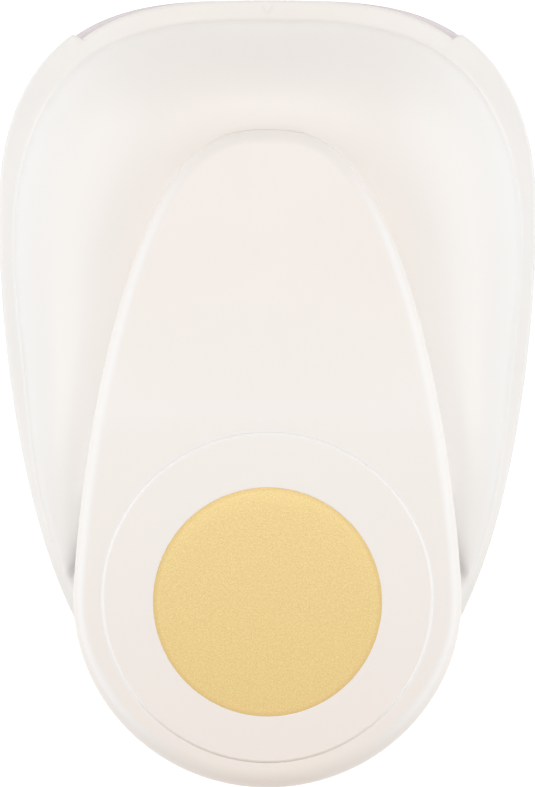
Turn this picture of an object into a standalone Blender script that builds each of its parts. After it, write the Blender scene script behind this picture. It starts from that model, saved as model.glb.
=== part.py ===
# Large circle punch for desk use: a long press lever drives a round cutter through paper.
# Metres, +Z up. The paper mouth faces +Y, the press pad is at -Y. The origin is on the table,
# under the middle of the outline seen from above.

import math

import bmesh
import bpy
from mathutils import Matrix, Vector

# Punched circle, and how far its centre lies behind the front end of the body
CUT_RADIUS = 0.0381
CUT_SETBACK = 0.0661

MILLIMETRE = 0.001

# Gaps: between pieces that touch, and what a cut runs past the face it starts from
FIT = 0.0003
OVERRUN = 0.0010

# Body outline seen from above: two superellipse halves that meet where the body is widest
BODY_HALF_WIDTH = 0.0577
BODY_WIDEST_Y = 0.0368
BODY_FRONT_REACH = 0.0463
BODY_REAR_REACH = 0.1098
BODY_FRONT_POWERS = (3.3, 2.4)
BODY_REAR_POWERS = (3.2, 1.9)

# Lever outline seen from above: a tongue up to the case's crest, a round end that overhangs the body
LEVER_HALF_WIDTH = 0.0400
LEVER_REAR_REACH = 0.0390
LEVER_OVERHANG = 0.0101
LEVER_FRONT_POWERS = (2.7, 1.4)
LEVER_REAR_POWERS = (2.0, 2.0)

# Pivot of the lever, in front of the circle's centre and over the link's foot, and its swing
PIVOT_REACH = 0.0450
LINK_HEIGHT = 0.0064
LEVER_SWING = math.radians(8.2)

# Tray
TRAY_FLOOR = 0.0020
TRAY_RIB = 0.0010
TRAY_RIB_WIDTH = 0.0030
TRAY_WALL = 0.0022
TRAY_EXIT_MARGIN = 0.0030
TRAY_LIP_RISE = 0.0002
TRAY_FOOT_CHAMFER = 0.0008
TRAY_BOSS_RADIUS = 0.0048

# Plates, from the table up
DIE_THICKNESS = 0.0037
PAPER_SLOT = 0.0018
GUIDE_THICKNESS = 0.0040
COLLAR_WALL = 0.0018
COLLAR_HEIGHT = 0.0030
PAPER_STOP_DEPTH = 0.0019
GUIDE_SETBACK = 0.0116

# Cutter and the plate that drives it
CUTTER_LIFT = 0.0002
CUTTER_HEIGHT = 0.0150
CUTTER_WALL = 0.0035
CUTTER_CROWN = 0.0030
CUTTER_BEVEL = 0.0009
SHEAR_WAVE = 0.0015
PRESSURE_THICKNESS = 0.0030
PRESSURE_RADIUS = 0.0320
LUG_RADIUS = 0.0058

# Springs on their bolts
SPRING_RADIUS = 0.0036
SPRING_WIRE_RADIUS = 0.0005
SPRING_TURNS = 4.5
SPRING_POCKET_RADIUS = 0.0048
SPRING_POCKET_DEPTH = 0.0017
BOLT_RADIUS = 0.0020
BOLT_HEAD_RADIUS = 0.0034
BOLT_HEAD_HEIGHT = 0.0024
REAR_SPRING_X = 0.0240
REAR_SPRING_REACH = 0.0420

# Link between plate and lever
BLOCK_HALF_WIDTH = 0.0070
BLOCK_HALF_DEPTH = 0.0060
BLOCK_CAP = 0.0040
BLOCK_FLANGE_WIDTH = 0.0050
BLOCK_FLANGE_HEIGHT = 0.0022
LINK_PIN_RADIUS = 0.0020
CLIP_THICKNESS = 0.0010
CLIP_RADIUS = 0.0036
CLIP_CLEARANCE = 0.0004
PIN_END = 0.0010

# Lever arm, a folded channel
ARM_HALF_WIDTH = 0.0100
ARM_WALL = 0.0020
ARM_NOSE_RADIUS = 0.0055
ARM_TAIL = 0.0179
ARM_SHOULDER = 0.0120
ARM_RISE = 0.0080
ARM_DROP = 0.0045
ARM_BEND_BACK = 0.0370
ARM_LOW_BEND_BACK = 0.0520
ARM_BEND_GAP = 0.0072
ARM_REAR_GAP = 0.0032
ARM_BEND_DEPTH = 0.0120
ARM_REAR_DEPTH = 0.0110
BUSH_RADIUS = 0.0039
BUSH_FLANGE_RADIUS = 0.0050
BUSH_FLANGE = 0.0010

# Pivot bracket
EAR_GAP = 0.0005
EAR_THICKNESS = 0.0030
EAR_HALF_DEPTH = 0.0055
BRACKET_BASE_HALF_WIDTH = 0.0225
BRACKET_BASE_THICKNESS = 0.0020
BRACKET_BASE_DEPTH = 0.0118
BRACKET_COLLAR_GAP = 0.0008
BRACKET_SCREW_X = 0.0180
PIVOT_PIN_RADIUS = 0.0025
PIVOT_HEAD_RADIUS = 0.0040
PIVOT_HEAD_HEIGHT = 0.0014

# Upper case
CREST_DECK_RISE = 0.0014
CREST_TIP_DROP = 0.0020
CREST_START_AHEAD = 0.0056
CREST_END_BACK = 0.0090
CREST_POWER = 0.75
CASE_CENTRE_SHIFT = 0.0070
LEVER_GAP = 0.0008
CASE_WALL = 0.0022
CASE_MIN_RING = 0.0050
CASE_LIP = 0.0014
CASE_LIP_DEPTH = 0.0040
CASE_LIP_ROUND = 0.0009
CASE_BLEND = 0.0008
CASE_LEAST_HOLLOW = 0.0004
BRIM_FRONT = 0.0046
BRIM_CORNER = 0.0065
BRIM_SIDE = 0.0036
BRIM_REAR = 0.0022
BRIM_RIM_RISE = 0.0005
BRIM_ROUND = 0.0006
SHOULDER_RISE = 0.0016
BRIM_DIP = 0.0003
NOTCH_WIDTH = 0.0008
BRIM_CHANGES = ((BRIM_CORNER, 8, 33), (BRIM_SIDE, 40, 75), (BRIM_REAR, 95, 130))
MOUTH_MARGIN = 0.0032
MOUTH_RISE = 0.0032
MOUTH_RECESS_SIDE = 0.0015
MOUTH_RECESS_MIDDLE = 0.0004
CASE_POST_RADIUS = 0.0032

# Deck under the lever's tail
DECK_THICKNESS = 0.0015
DECK_SPRING_GAP = 0.0090
BULKHEAD_THICKNESS = 0.0020
BULKHEAD_HALF_WIDTH = 0.0355
BULKHEAD_HEIGHT = 0.0150
BULKHEAD_NOTCH_HALF_WIDTH = 0.0115
BULKHEAD_NOTCH_RISE = 0.0058

# Lever cover
LEVER_WALL = 0.0022
LEVER_TIP_RISE = 0.0165
LEVER_TOP_PAD_Z = 0.0600
LEVER_CROWN = 0.0009
LEVER_CROWN_RUN = 0.0187
LEVER_RISE_POWER = 1.6
LEVER_SCREW_DEPTH = 0.0052
LEVER_EDGE_ROUND = 0.0032
LEVER_TAIL_ROUND = 0.0050
LEVER_SKIRT_GAP = 0.0005
LEVER_SKIRT_OVER_PLATE = 0.0027
LEVER_SKIRT_START_BACK = 0.0290
LEVER_SKIRT_END_BACK = 0.0130
LEVER_TIP_SKIRT_DEPTH = 0.0070
LEVER_TIP_START_BACK = 0.0170
LEVER_TIP_END_BACK = 0.0080
LEVER_BOSS_RADIUS = 0.0034
LEVER_SCREW_FRONT_BACK = 0.0110
LEVER_SCREW_REAR_MARGIN = 0.0070

# Round pad and its gold disc
PAD_SHIFT = 0.0004
PAD_RADIUS = 0.0336
PAD_THICKNESS = 0.0023
PAD_GROOVE = 0.0004
PAD_FLOOR = 0.0022
PAD_EDGE_ROUND = 0.0005
PAD_ROOF_BLEND = 0.0120
PAD_SCREW_DEPTH = 0.0014
PAD_SCREW_X = 0.0287
DISC_SHIFT = 0.0009
DISC_RADIUS = 0.0235
DISC_THICKNESS = 0.0008

# Small screws
SCREW_RADIUS = 0.0012
SCREW_HEAD_RADIUS = 0.0022
SCREW_HEAD_HEIGHT = 0.0016
SCREW_BITE = 0.0040
CUTTER_SCREW_X = 0.0160
CUTTER_SCREW_DY = 0.0120
BLOCK_SCREW_DY = 0.0085

# Shapes given as shares or angles in degrees
LUG_ROOT_SHARE = 0.45
BRIM_MOST_SHARE = 0.45
SHOULDER_SHARE = 0.22
TOP_SHARES = (0.85, 0.6, 0.3, 0.06)
PLATE_REAR_SHARE = 0.6667
EDGE_TURNS = (0, 30, 60, 90)
DOME_TURNS = (5, 20, 38, 56, 73, 90)
HOLLOW_TURNS = (80, 50, 20, 0)
SHARP_ANGLE = math.radians(35)

# Bolts and screws round the collar: direction from the circle's centre, share of the way to the outline
FRONT_SPRING_TURN_SHARE = (54.46, 0.359)
FRONT_POST_TURN_SHARE = (34.0, 0.296)
REAR_POST_TURN_SHARE = (-33.1, 0.574)
TRAY_FRONT_TURN_SHARE = (19.9, 0.460)

# Screws behind: share of the outline's half width, share of the way from the deck's front to its end
TRAY_REAR_SHARES = (0.286, 0.4103)
FRAME_FRONT_SHARES = (0.704, 0.0)
FRAME_REAR_SHARES = (0.489, 0.4615)
DECK_SCREW_SHARES = (0.582, 0.2564)

# Steps round each kind of outline
LEVER_STEPS = 60
BODY_STEPS = 64
CIRCLE_STEPS = 48
DISC_STEPS = 48
SMALL_STEPS = 10
COIL_STEPS = 9

# Places along the part that follow from the sizes above
BODY_FRONT_Y = BODY_WIDEST_Y + BODY_FRONT_REACH
BODY_REAR_Y = BODY_WIDEST_Y - BODY_REAR_REACH
CUT_CENTRE_Y = BODY_FRONT_Y - CUT_SETBACK
CASE_CENTRE_Y = CUT_CENTRE_Y - CASE_CENTRE_SHIFT
PIVOT_Y = CUT_CENTRE_Y + PIVOT_REACH
CREST_END_Y = PIVOT_Y - CREST_END_BACK
LEVER_WIDEST_Y = BODY_REAR_Y - LEVER_OVERHANG + LEVER_REAR_REACH
LEVER_FRONT_REACH = CREST_END_Y - LEVER_WIDEST_Y
CREST_START_Y = LEVER_WIDEST_Y + CREST_START_AHEAD
REAR_SPRING_Y = CUT_CENTRE_Y - REAR_SPRING_REACH
DECK_FRONT_Y = REAR_SPRING_Y - DECK_SPRING_GAP
PLATE_REAR_Y = DECK_FRONT_Y - (DECK_FRONT_Y - BODY_REAR_Y) * PLATE_REAR_SHARE
GUIDE_FRONT_Y = BODY_FRONT_Y - GUIDE_SETBACK
MOUTH_HALF_WIDTH = CUT_RADIUS + MOUTH_MARGIN
PAD_CENTRE_Y = LEVER_WIDEST_Y + PAD_SHIFT
DISC_CENTRE_Y = PAD_CENTRE_Y - DISC_SHIFT
PAD_FRONT_Y = PAD_CENTRE_Y + PAD_RADIUS + PAD_GROOVE
ARM_REAR_Y = LEVER_WIDEST_Y - ARM_TAIL
ARM_BEND_Y = CUT_CENTRE_Y - ARM_BEND_BACK
ARM_LOW_BEND_Y = CUT_CENTRE_Y - ARM_LOW_BEND_BACK
LEVER_SCREW_FRONT_Y = CUT_CENTRE_Y - LEVER_SCREW_FRONT_BACK
LEVER_SCREW_REAR_Y = ARM_REAR_Y + LEVER_SCREW_REAR_MARGIN

# Heights and insets that follow from the sizes above
DIE_Z = TRAY_FLOOR + TRAY_RIB + FIT
DIE_TOP_Z = DIE_Z + DIE_THICKNESS
GUIDE_Z = DIE_TOP_Z + PAPER_SLOT
GUIDE_TOP_Z = GUIDE_Z + GUIDE_THICKNESS
PLATE_INSET = TRAY_WALL + FIT
PAPER_STOP_Y = CUT_CENTRE_Y - CUT_RADIUS - PAPER_STOP_DEPTH
BORE_RADIUS = CUT_RADIUS + FIT
COLLAR_RADIUS = BORE_RADIUS + COLLAR_WALL
CUTTER_Z = GUIDE_Z + CUTTER_LIFT
CUTTER_TOP_Z = CUTTER_Z + CUTTER_HEIGHT
PRESSURE_Z = CUTTER_TOP_Z + FIT
PRESSURE_TOP_Z = PRESSURE_Z + PRESSURE_THICKNESS
POCKET_Z = GUIDE_TOP_Z - SPRING_POCKET_DEPTH
BLOCK_Z = PRESSURE_TOP_Z + FIT
PIVOT_Z = BLOCK_Z + LINK_HEIGHT
DECK_Z = GUIDE_TOP_Z + FIT
DECK_TOP_Z = DECK_Z + DECK_THICKNESS
BULKHEAD_NOTCH_Z = DECK_TOP_Z + BULKHEAD_NOTCH_RISE
BRIM_RIM_Z = GUIDE_TOP_Z + BRIM_RIM_RISE
SHOULDER_Z = BRIM_RIM_Z + SHOULDER_RISE
CREST_LOW_Z = DECK_TOP_Z + CREST_DECK_RISE
LEVER_TOP_TIP_Z = PIVOT_Z + LEVER_TIP_RISE
CREST_RISE = LEVER_TOP_TIP_Z - CREST_TIP_DROP - CREST_LOW_Z
ARM_INNER = ARM_HALF_WIDTH - ARM_WALL
EAR_INNER = ARM_HALF_WIDTH + EAR_GAP
EAR_OUTER = EAR_INNER + EAR_THICKNESS
PAD_Z = LEVER_TOP_PAD_Z - PAD_THICKNESS
PAD_SEAT_Z = PAD_Z - FIT
LEVER_PAD_ROOF_Z = PAD_SEAT_Z - PAD_FLOOR
ARM_TOP_Z = PIVOT_Z + ARM_RISE
ARM_BEND_Z = LEVER_PAD_ROOF_Z - ARM_BEND_GAP
ARM_REAR_Z = LEVER_PAD_ROOF_Z - ARM_REAR_GAP
MOUTH_Z = GUIDE_Z + MOUTH_RISE

# Colour, roughness and metallic value of each kind of material
FINISHES = {
    "case_plastic": ((0.871, 0.847, 0.800), 0.42, 0.0),
    "lever_plastic": ((0.855, 0.814, 0.774), 0.36, 0.0),
    "tray_plastic": ((0.745, 0.683, 0.694), 0.45, 0.0),
    "gold": ((0.788, 0.571, 0.238), 0.34, 1.0),
    "plate_steel": ((0.560, 0.570, 0.580), 0.38, 1.0),
    "tool_steel": ((0.420, 0.430, 0.445), 0.26, 1.0),
    "screw_steel": ((0.630, 0.630, 0.620), 0.33, 1.0),
    "spring_steel": ((0.300, 0.310, 0.325), 0.30, 1.0),
    "bush_bronze": ((0.540, 0.360, 0.170), 0.40, 1.0),
}


# Outlines

def outline_rule(kind, y):
    """Half width, reach, powers and centre of the outline half that holds this y."""
    if kind == "body":
        if y >= BODY_WIDEST_Y:
            return BODY_HALF_WIDTH, BODY_FRONT_REACH, BODY_FRONT_POWERS, BODY_WIDEST_Y
        return BODY_HALF_WIDTH, BODY_REAR_REACH, BODY_REAR_POWERS, BODY_WIDEST_Y
    if y >= LEVER_WIDEST_Y:
        return LEVER_HALF_WIDTH, LEVER_FRONT_REACH, LEVER_FRONT_POWERS, LEVER_WIDEST_Y
    return LEVER_HALF_WIDTH, LEVER_REAR_REACH, LEVER_REAR_POWERS, LEVER_WIDEST_Y


def outline_value(kind, x, y):
    """Under 1 inside the outline |x/half_width|^p + |y/reach|^q = 1, over 1 outside it."""
    half_width, reach, powers, centre = outline_rule(kind, y)
    return abs(x / half_width) ** powers[0] + abs((y - centre) / reach) ** powers[1]


def outline_frames(kind, steps):
    """Points round an outline, each with its normal: (x, y, normal_x, normal_y)."""
    centre = BODY_WIDEST_Y if kind == "body" else LEVER_WIDEST_Y
    frames = []
    for step in range(steps):
        angle = 2 * math.pi * step / steps
        half_width, reach, powers, _ = outline_rule(kind, centre + math.sin(angle))
        across = abs(math.cos(angle)) ** (2 / powers[0])
        along = abs(math.sin(angle)) ** (2 / powers[1])
        slope_x = powers[0] * across ** (powers[0] - 1) / half_width
        slope_y = powers[1] * along ** (powers[1] - 1) / reach
        length = math.hypot(slope_x, slope_y)
        frames.append((math.copysign(half_width * across, math.cos(angle)),
                       centre + math.copysign(reach * along, math.sin(angle)),
                       math.copysign(slope_x / length, math.cos(angle)),
                       math.copysign(slope_y / length, math.sin(angle))))
    return frames


def outline_points(kind, inset, steps=BODY_STEPS):
    """Points round an outline, moved inwards by an inset square to it."""
    return [(x - inset * normal_x, y - inset * normal_y)
            for x, y, normal_x, normal_y in outline_frames(kind, steps)]


def clip_outline(points, low=None, high=None):
    """Part of a convex outline between two values of y."""
    for limit, side in ((low, 1), (high, -1)):
        if limit is None:
            continue
        kept = []
        for here, after in zip(points, points[1:] + points[:1]):
            inside = side * (here[1] - limit) >= 0
            inside_after = side * (after[1] - limit) >= 0
            if inside:
                kept.append(here)
            if inside != inside_after:
                share = (limit - here[1]) / (after[1] - here[1])
                kept.append((here[0] + share * (after[0] - here[0]), limit))
        points = kept
    return points


def half_width_at(y):
    """Half the body's width at a place along it."""
    half_width, reach, powers, centre = outline_rule("body", y)
    return half_width * (1 - abs((y - centre) / reach) ** powers[1]) ** (1 / powers[0])


def reach_along(kind, angle, centre_y=CASE_CENTRE_Y):
    """Distance from a centre to an outline in a direction, by halving the interval."""
    near = 0.0
    far = BODY_FRONT_REACH + BODY_REAR_REACH
    for _ in range(40):
        middle = (near + far) / 2
        if outline_value(kind, middle * math.cos(angle), centre_y + middle * math.sin(angle)) < 1:
            near = middle
        else:
            far = middle
    return near


def smooth_share(value, start, end):
    """0 before start, 1 after end, a smooth S between."""
    share = min(max((value - start) / (end - start), 0), 1)
    return share * share * (3 - 2 * share)


# Solids

def add_rings(mesh, rings, tube=False):
    """Closed skin over rings of equal length: capped at both ends, or joined end to end."""
    loops = [[mesh.verts.new(point) for point in ring] for ring in rings]
    pairs = list(zip(loops, loops[1:]))
    if tube:
        pairs.append((loops[-1], loops[0]))
    else:
        mesh.faces.new(loops[0])
        mesh.faces.new(loops[-1])
    for lower, upper in pairs:
        for here in range(len(lower)):
            after = (here + 1) % len(lower)
            mesh.faces.new((lower[here], lower[after], upper[after], upper[here]))


def make_object(name, solids):
    """One object from (rings, tube) pairs, each a closed solid."""
    mesh = bmesh.new()
    for rings, tube in solids:
        add_rings(mesh, rings, tube)
    bmesh.ops.recalc_face_normals(mesh, faces=mesh.faces)
    data = bpy.data.meshes.new(name)
    mesh.to_mesh(data)
    mesh.free()
    made = bpy.data.objects.new(name, data)
    bpy.context.scene.collection.objects.link(made)
    return made


def slab(points, low, high):
    """Outline seen from above, stood up between two heights."""
    return [[(x, y, z) for x, y in points] for z in (low, high)], False


def side_slab(points, left, right):
    """Outline of (y, z) points seen from the side, run across between two values of x."""
    return [[(x, y, z) for y, z in points] for x in (left, right)], False


def box_slab(half_width, rear, front, low, high):
    corners = [(half_width, rear), (half_width, front), (-half_width, front), (-half_width, rear)]
    return slab(corners, low, high)


def arc(radius, centre, start, end, steps):
    """Points on an arc between two angles in degrees, both ends included."""
    points = []
    for step in range(steps + 1):
        angle = math.radians(start + (end - start) * step / steps)
        points.append((centre[0] + radius * math.cos(angle), centre[1] + radius * math.sin(angle)))
    return points


def stadium(radius, start, end):
    """Outline of a bar with round ends between two points."""
    heading = math.degrees(math.atan2(end[1] - start[1], end[0] - start[0]))
    half = SMALL_STEPS // 2
    front = arc(radius, end, heading - 90, heading + 90, half)
    return front + arc(radius, start, heading + 90, heading + 270, half)


def turned(profile, x, y, steps=SMALL_STEPS, tube=False):
    """Solid of revolution about an upright axis, from (radius, z) pairs."""
    rings = []
    for radius, z in profile:
        angles = [2 * math.pi * step / steps for step in range(steps)]
        rings.append([(x + radius * math.cos(angle), y + radius * math.sin(angle), z) for angle in angles])
    return rings, tube


def turned_across(profile, y, z, steps=SMALL_STEPS, tube=False):
    """Solid of revolution about an axis along X, from (radius, x) pairs."""
    rings = []
    for radius, x in profile:
        angles = [2 * math.pi * step / steps for step in range(steps)]
        rings.append([(x, y + radius * math.cos(angle), z + radius * math.sin(angle)) for angle in angles])
    return rings, tube


def apply_boolean(target, label, solids, operation):
    """Cut or join a set of separate solids, kept as one hidden guide object."""
    guide = make_object(target.name + "." + label, solids)
    guide.hide_render = True
    guide.display_type = "WIRE"
    step = target.modifiers.new(label, "BOOLEAN")
    step.operation = operation
    step.solver = "EXACT"
    step.object = guide


def cut(target, label, solids):
    apply_boolean(target, label, solids, "DIFFERENCE")


def join(target, label, solids):
    apply_boolean(target, label, solids, "UNION")


def finish(made, kind, axis=None):
    """Own material, smooth round faces and, for a moving piece, its axis as parent."""
    colour, roughness, metallic = FINISHES[kind]
    material = bpy.data.materials.new(made.name + "_" + kind)
    material.use_nodes = True
    shader = material.node_tree.nodes["Principled BSDF"]
    shader.inputs["Base Color"].default_value = (*colour, 1)
    shader.inputs["Roughness"].default_value = roughness
    shader.inputs["Metallic"].default_value = metallic
    made.data.materials.append(material)
    if made.type == "MESH":
        made.data.shade_smooth()
        made.data.set_sharp_from_angle(angle=SHARP_ANGLE)
    if axis is not None:
        made.data.transform(Matrix.Translation(-axis.location))
        made.parent = axis


def make_axis(name, y, z):
    axis = bpy.data.objects.new(name, None)
    axis.location = Vector((0, y, z))
    bpy.context.scene.collection.objects.link(axis)
    return axis


def both_sides(place):
    """The place on the right and its mirror image on the left."""
    x, y = place
    return {"right": (x, y), "left": (-x, y)}


# Screws and their holes

def collar_place(turn_share):
    """Place at a share of the way from the collar to the body outline, in a direction in degrees."""
    turn, share = turn_share
    angle = math.radians(turn)
    edge = reach_along("body", angle, CUT_CENTRE_Y)
    radius = COLLAR_RADIUS + (edge - COLLAR_RADIUS) * share
    return radius * math.cos(angle), CUT_CENTRE_Y + radius * math.sin(angle)


def rear_place(shares):
    """Place behind the cutter, by shares of the body's half width and of the deck's length."""
    y = DECK_FRONT_Y - (DECK_FRONT_Y - BODY_REAR_Y) * shares[1]
    return half_width_at(y) * shares[0], y


def screw_up(name, place, head_z, tip_z, kind="screw_steel"):
    """Screw driven upwards: head below, shank above."""
    seat_z = head_z + SCREW_HEAD_HEIGHT
    profile = [(SCREW_HEAD_RADIUS, head_z), (SCREW_HEAD_RADIUS, seat_z),
               (SCREW_RADIUS, seat_z), (SCREW_RADIUS, tip_z)]
    finish(make_object(name, [turned(profile, *place)]), kind)


def screw_down(name, place, seat_z, tip_z, axis=None, radius=SCREW_RADIUS):
    """Screw driven downwards: shank below, head above its seat."""
    profile = [(radius, tip_z), (radius, seat_z), (SCREW_HEAD_RADIUS, seat_z),
               (SCREW_HEAD_RADIUS, seat_z + SCREW_HEAD_HEIGHT)]
    finish(make_object(name, [turned(profile, *place)]), "screw_steel", axis)


def screw_hole(place, low, high):
    return turned([(SCREW_RADIUS + FIT, low), (SCREW_RADIUS + FIT, high)], *place)


def sunk_hole(place, face_z, high):
    """Hole driven from below, widened at the face for the screw's head."""
    seat_z = face_z + SCREW_HEAD_HEIGHT + FIT
    profile = [(SCREW_HEAD_RADIUS + FIT, face_z - OVERRUN), (SCREW_HEAD_RADIUS + FIT, seat_z),
               (SCREW_RADIUS + FIT, seat_z), (SCREW_RADIUS + FIT, high)]
    return turned(profile, *place)


# Lower case and plates

def make_base_tray():
    """Shallow cup under the plates, lower round the mouth than behind the paper stop."""
    wall_top_z = GUIDE_Z - FIT
    rings = [[(x, y, 0) for x, y in outline_points("body", TRAY_FOOT_CHAMFER)],
             [(x, y, TRAY_FOOT_CHAMFER) for x, y in outline_points("body", 0)],
             [(x, y, wall_top_z) for x, y in outline_points("body", 0)],
             [(x, y, wall_top_z) for x, y in outline_points("body", TRAY_WALL)],
             [(x, y, TRAY_FLOOR) for x, y in outline_points("body", TRAY_WALL)]]
    tray = make_object("base_tray", [(rings, False)])
    exit_radius = BORE_RADIUS + TRAY_EXIT_MARGIN
    rib_top_z = TRAY_FLOOR + TRAY_RIB
    rib_radius = exit_radius + TRAY_RIB_WIDTH
    rib = turned([(rib_radius, TRAY_FLOOR / 2), (rib_radius, rib_top_z)], 0, CUT_CENTRE_Y, CIRCLE_STEPS)
    bosses = [turned([(TRAY_BOSS_RADIUS, TRAY_FLOOR / 2), (TRAY_BOSS_RADIUS, rib_top_z)], *place)
              for place in tray_screw_places()]
    join(tray, "rib", [rib])
    join(tray, "bosses", bosses)
    exit_hole = turned([(exit_radius, -OVERRUN), (exit_radius, rib_top_z + OVERRUN)],
                       0, CUT_CENTRE_Y, CIRCLE_STEPS)
    screw_holes = [sunk_hole(place, FIT, rib_top_z + OVERRUN) for place in tray_screw_places()]
    front = box_slab(BODY_HALF_WIDTH + OVERRUN, PAPER_STOP_Y, BODY_FRONT_Y + OVERRUN,
                     DIE_TOP_Z + TRAY_LIP_RISE, wall_top_z + OVERRUN)
    cut(tray, "holes_and_mouth", [exit_hole, front] + screw_holes)
    finish(tray, "tray_plastic")


def tray_screw_places():
    return [*both_sides(collar_place(TRAY_FRONT_TURN_SHARE)).values(),
            *both_sides(rear_place(TRAY_REAR_SHARES)).values()]


def frame_screw_places():
    return [*both_sides(rear_place(FRAME_FRONT_SHARES)).values(),
            *both_sides(rear_place(FRAME_REAR_SHARES)).values()]


def spring_places():
    places = {}
    front = collar_place(FRONT_SPRING_TURN_SHARE)
    for row, place in (("front", front), ("rear", (REAR_SPRING_X, REAR_SPRING_Y))):
        for side, mirrored in both_sides(place).items():
            places[row + "_" + side] = mirrored
    return places


def make_die_plate():
    """Steel plate under the paper, with the round hole that the cutter enters."""
    outline = clip_outline(outline_points("body", PLATE_INSET), low=PLATE_REAR_Y)
    plate = make_object("die_plate", [slab(outline, DIE_Z, DIE_TOP_Z)])
    low = DIE_Z - OVERRUN
    high = DIE_TOP_Z + OVERRUN
    die = turned([(BORE_RADIUS, low), (BORE_RADIUS, high)], 0, CUT_CENTRE_Y, CIRCLE_STEPS)
    holes = [screw_hole(place, low, high) for place in tray_screw_places()]
    holes += [sunk_hole(place, DIE_Z, high) for place in frame_screw_places()]
    cut(plate, "die_and_holes", [die] + holes)
    finish(plate, "plate_steel")


def make_paper_stop():
    """Spacer between the plates; its front edge stops the sheet."""
    outline = clip_outline(outline_points("body", PLATE_INSET), low=PLATE_REAR_Y, high=PAPER_STOP_Y)
    low = DIE_TOP_Z + FIT
    high = GUIDE_Z - FIT
    stop = make_object("paper_stop", [slab(outline, low, high)])
    cut(stop, "holes", [screw_hole(place, low - OVERRUN, high + OVERRUN) for place in frame_screw_places()])
    finish(stop, "plate_steel")


def make_guide_plate():
    """Steel plate over the paper: collared bore, four spring pockets and screw holes."""
    outline = clip_outline(outline_points("body", PLATE_INSET), low=PLATE_REAR_Y, high=GUIDE_FRONT_Y)
    plate = make_object("guide_plate", [slab(outline, GUIDE_Z, GUIDE_TOP_Z)])
    collar_top_z = GUIDE_TOP_Z + COLLAR_HEIGHT
    collar = turned([(COLLAR_RADIUS, GUIDE_Z + GUIDE_THICKNESS / 2), (COLLAR_RADIUS, collar_top_z)],
                    0, CUT_CENTRE_Y, CIRCLE_STEPS)
    join(plate, "collar", [collar])
    low = GUIDE_Z - OVERRUN
    high = GUIDE_TOP_Z + OVERRUN
    bore = turned([(BORE_RADIUS, low), (BORE_RADIUS, collar_top_z + OVERRUN)], 0, CUT_CENTRE_Y, CIRCLE_STEPS)
    pocket_profile = [(BOLT_RADIUS + FIT, low), (BOLT_RADIUS + FIT, POCKET_Z),
                      (SPRING_POCKET_RADIUS, POCKET_Z), (SPRING_POCKET_RADIUS, high)]
    holes = [turned(pocket_profile, *place) for place in spring_places().values()]
    holes += [sunk_hole(place, GUIDE_Z, high) for place in case_post_places().values()]
    through = frame_screw_places() + list(both_sides((BRACKET_SCREW_X, bracket_middle_y())).values())
    through += list(both_sides(rear_place(DECK_SCREW_SHARES)).values())
    holes += [screw_hole(place, low, high) for place in through]
    cut(plate, "bore_and_holes", [bore] + holes)
    finish(plate, "plate_steel")


# Cutter, pressure plate and link

def make_punch_cutter(axis):
    """Hollow cutter, closed on top; its edge waves so that it shears the sheet bit by bit."""
    outer_edge = []
    inner_edge = []
    inner_radius = CUT_RADIUS - CUTTER_WALL
    for step in range(CIRCLE_STEPS):
        angle = 2 * math.pi * step / CIRCLE_STEPS
        wave = SHEAR_WAVE * (1 - math.cos(2 * angle)) / 2
        across = math.cos(angle)
        along = math.sin(angle)
        outer_edge.append((CUT_RADIUS * across, CUT_CENTRE_Y + CUT_RADIUS * along, CUTTER_Z + wave))
        inner_edge.append((inner_radius * across, CUT_CENTRE_Y + inner_radius * along,
                           CUTTER_Z + wave + CUTTER_BEVEL))
    outer_top = [(x, y, CUTTER_TOP_Z) for x, y, z in outer_edge]
    inner_top = [(x, y, CUTTER_TOP_Z - CUTTER_CROWN) for x, y, z in inner_edge]
    cutter = make_object("punch_cutter", [([outer_top, outer_edge, inner_edge, inner_top], False)])
    low = CUTTER_TOP_Z - CUTTER_CROWN - OVERRUN
    cut(cutter, "holes", [screw_hole(place, low, CUTTER_TOP_Z + OVERRUN)
                          for place in cutter_screw_places().values()])
    finish(cutter, "tool_steel", axis)


def cutter_screw_places():
    places = {}
    for row, shift in (("front", CUTTER_SCREW_DY), ("rear", -CUTTER_SCREW_DY)):
        for side, place in both_sides((CUTTER_SCREW_X, CUT_CENTRE_Y + shift)).items():
            places[row + "_" + side] = place
    return places


def block_screw_places():
    return {"front": (0, CUT_CENTRE_Y + BLOCK_SCREW_DY), "rear": (0, CUT_CENTRE_Y - BLOCK_SCREW_DY)}


def make_pressure_plate(axis):
    """Round plate with four lugs that ride on the bolts."""
    disc = turned([(PRESSURE_RADIUS, PRESSURE_Z), (PRESSURE_RADIUS, PRESSURE_TOP_Z)],
                  0, CUT_CENTRE_Y, CIRCLE_STEPS)
    plate = make_object("pressure_plate", [disc])
    lugs = []
    for x, y in spring_places().values():
        root = (x * LUG_ROOT_SHARE, CUT_CENTRE_Y + (y - CUT_CENTRE_Y) * LUG_ROOT_SHARE)
        lugs.append(slab(stadium(LUG_RADIUS, root, (x, y)), PRESSURE_Z, PRESSURE_TOP_Z))
    join(plate, "lugs", lugs)
    low = PRESSURE_Z - OVERRUN
    high = PRESSURE_TOP_Z + OVERRUN
    holes = [turned([(BOLT_RADIUS + FIT, low), (BOLT_RADIUS + FIT, high)], *place)
             for place in spring_places().values()]
    screws = [*cutter_screw_places().values(), *block_screw_places().values()]
    holes += [screw_hole(place, low, high) for place in screws]
    cut(plate, "holes", holes)
    finish(plate, "plate_steel", axis)


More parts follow.
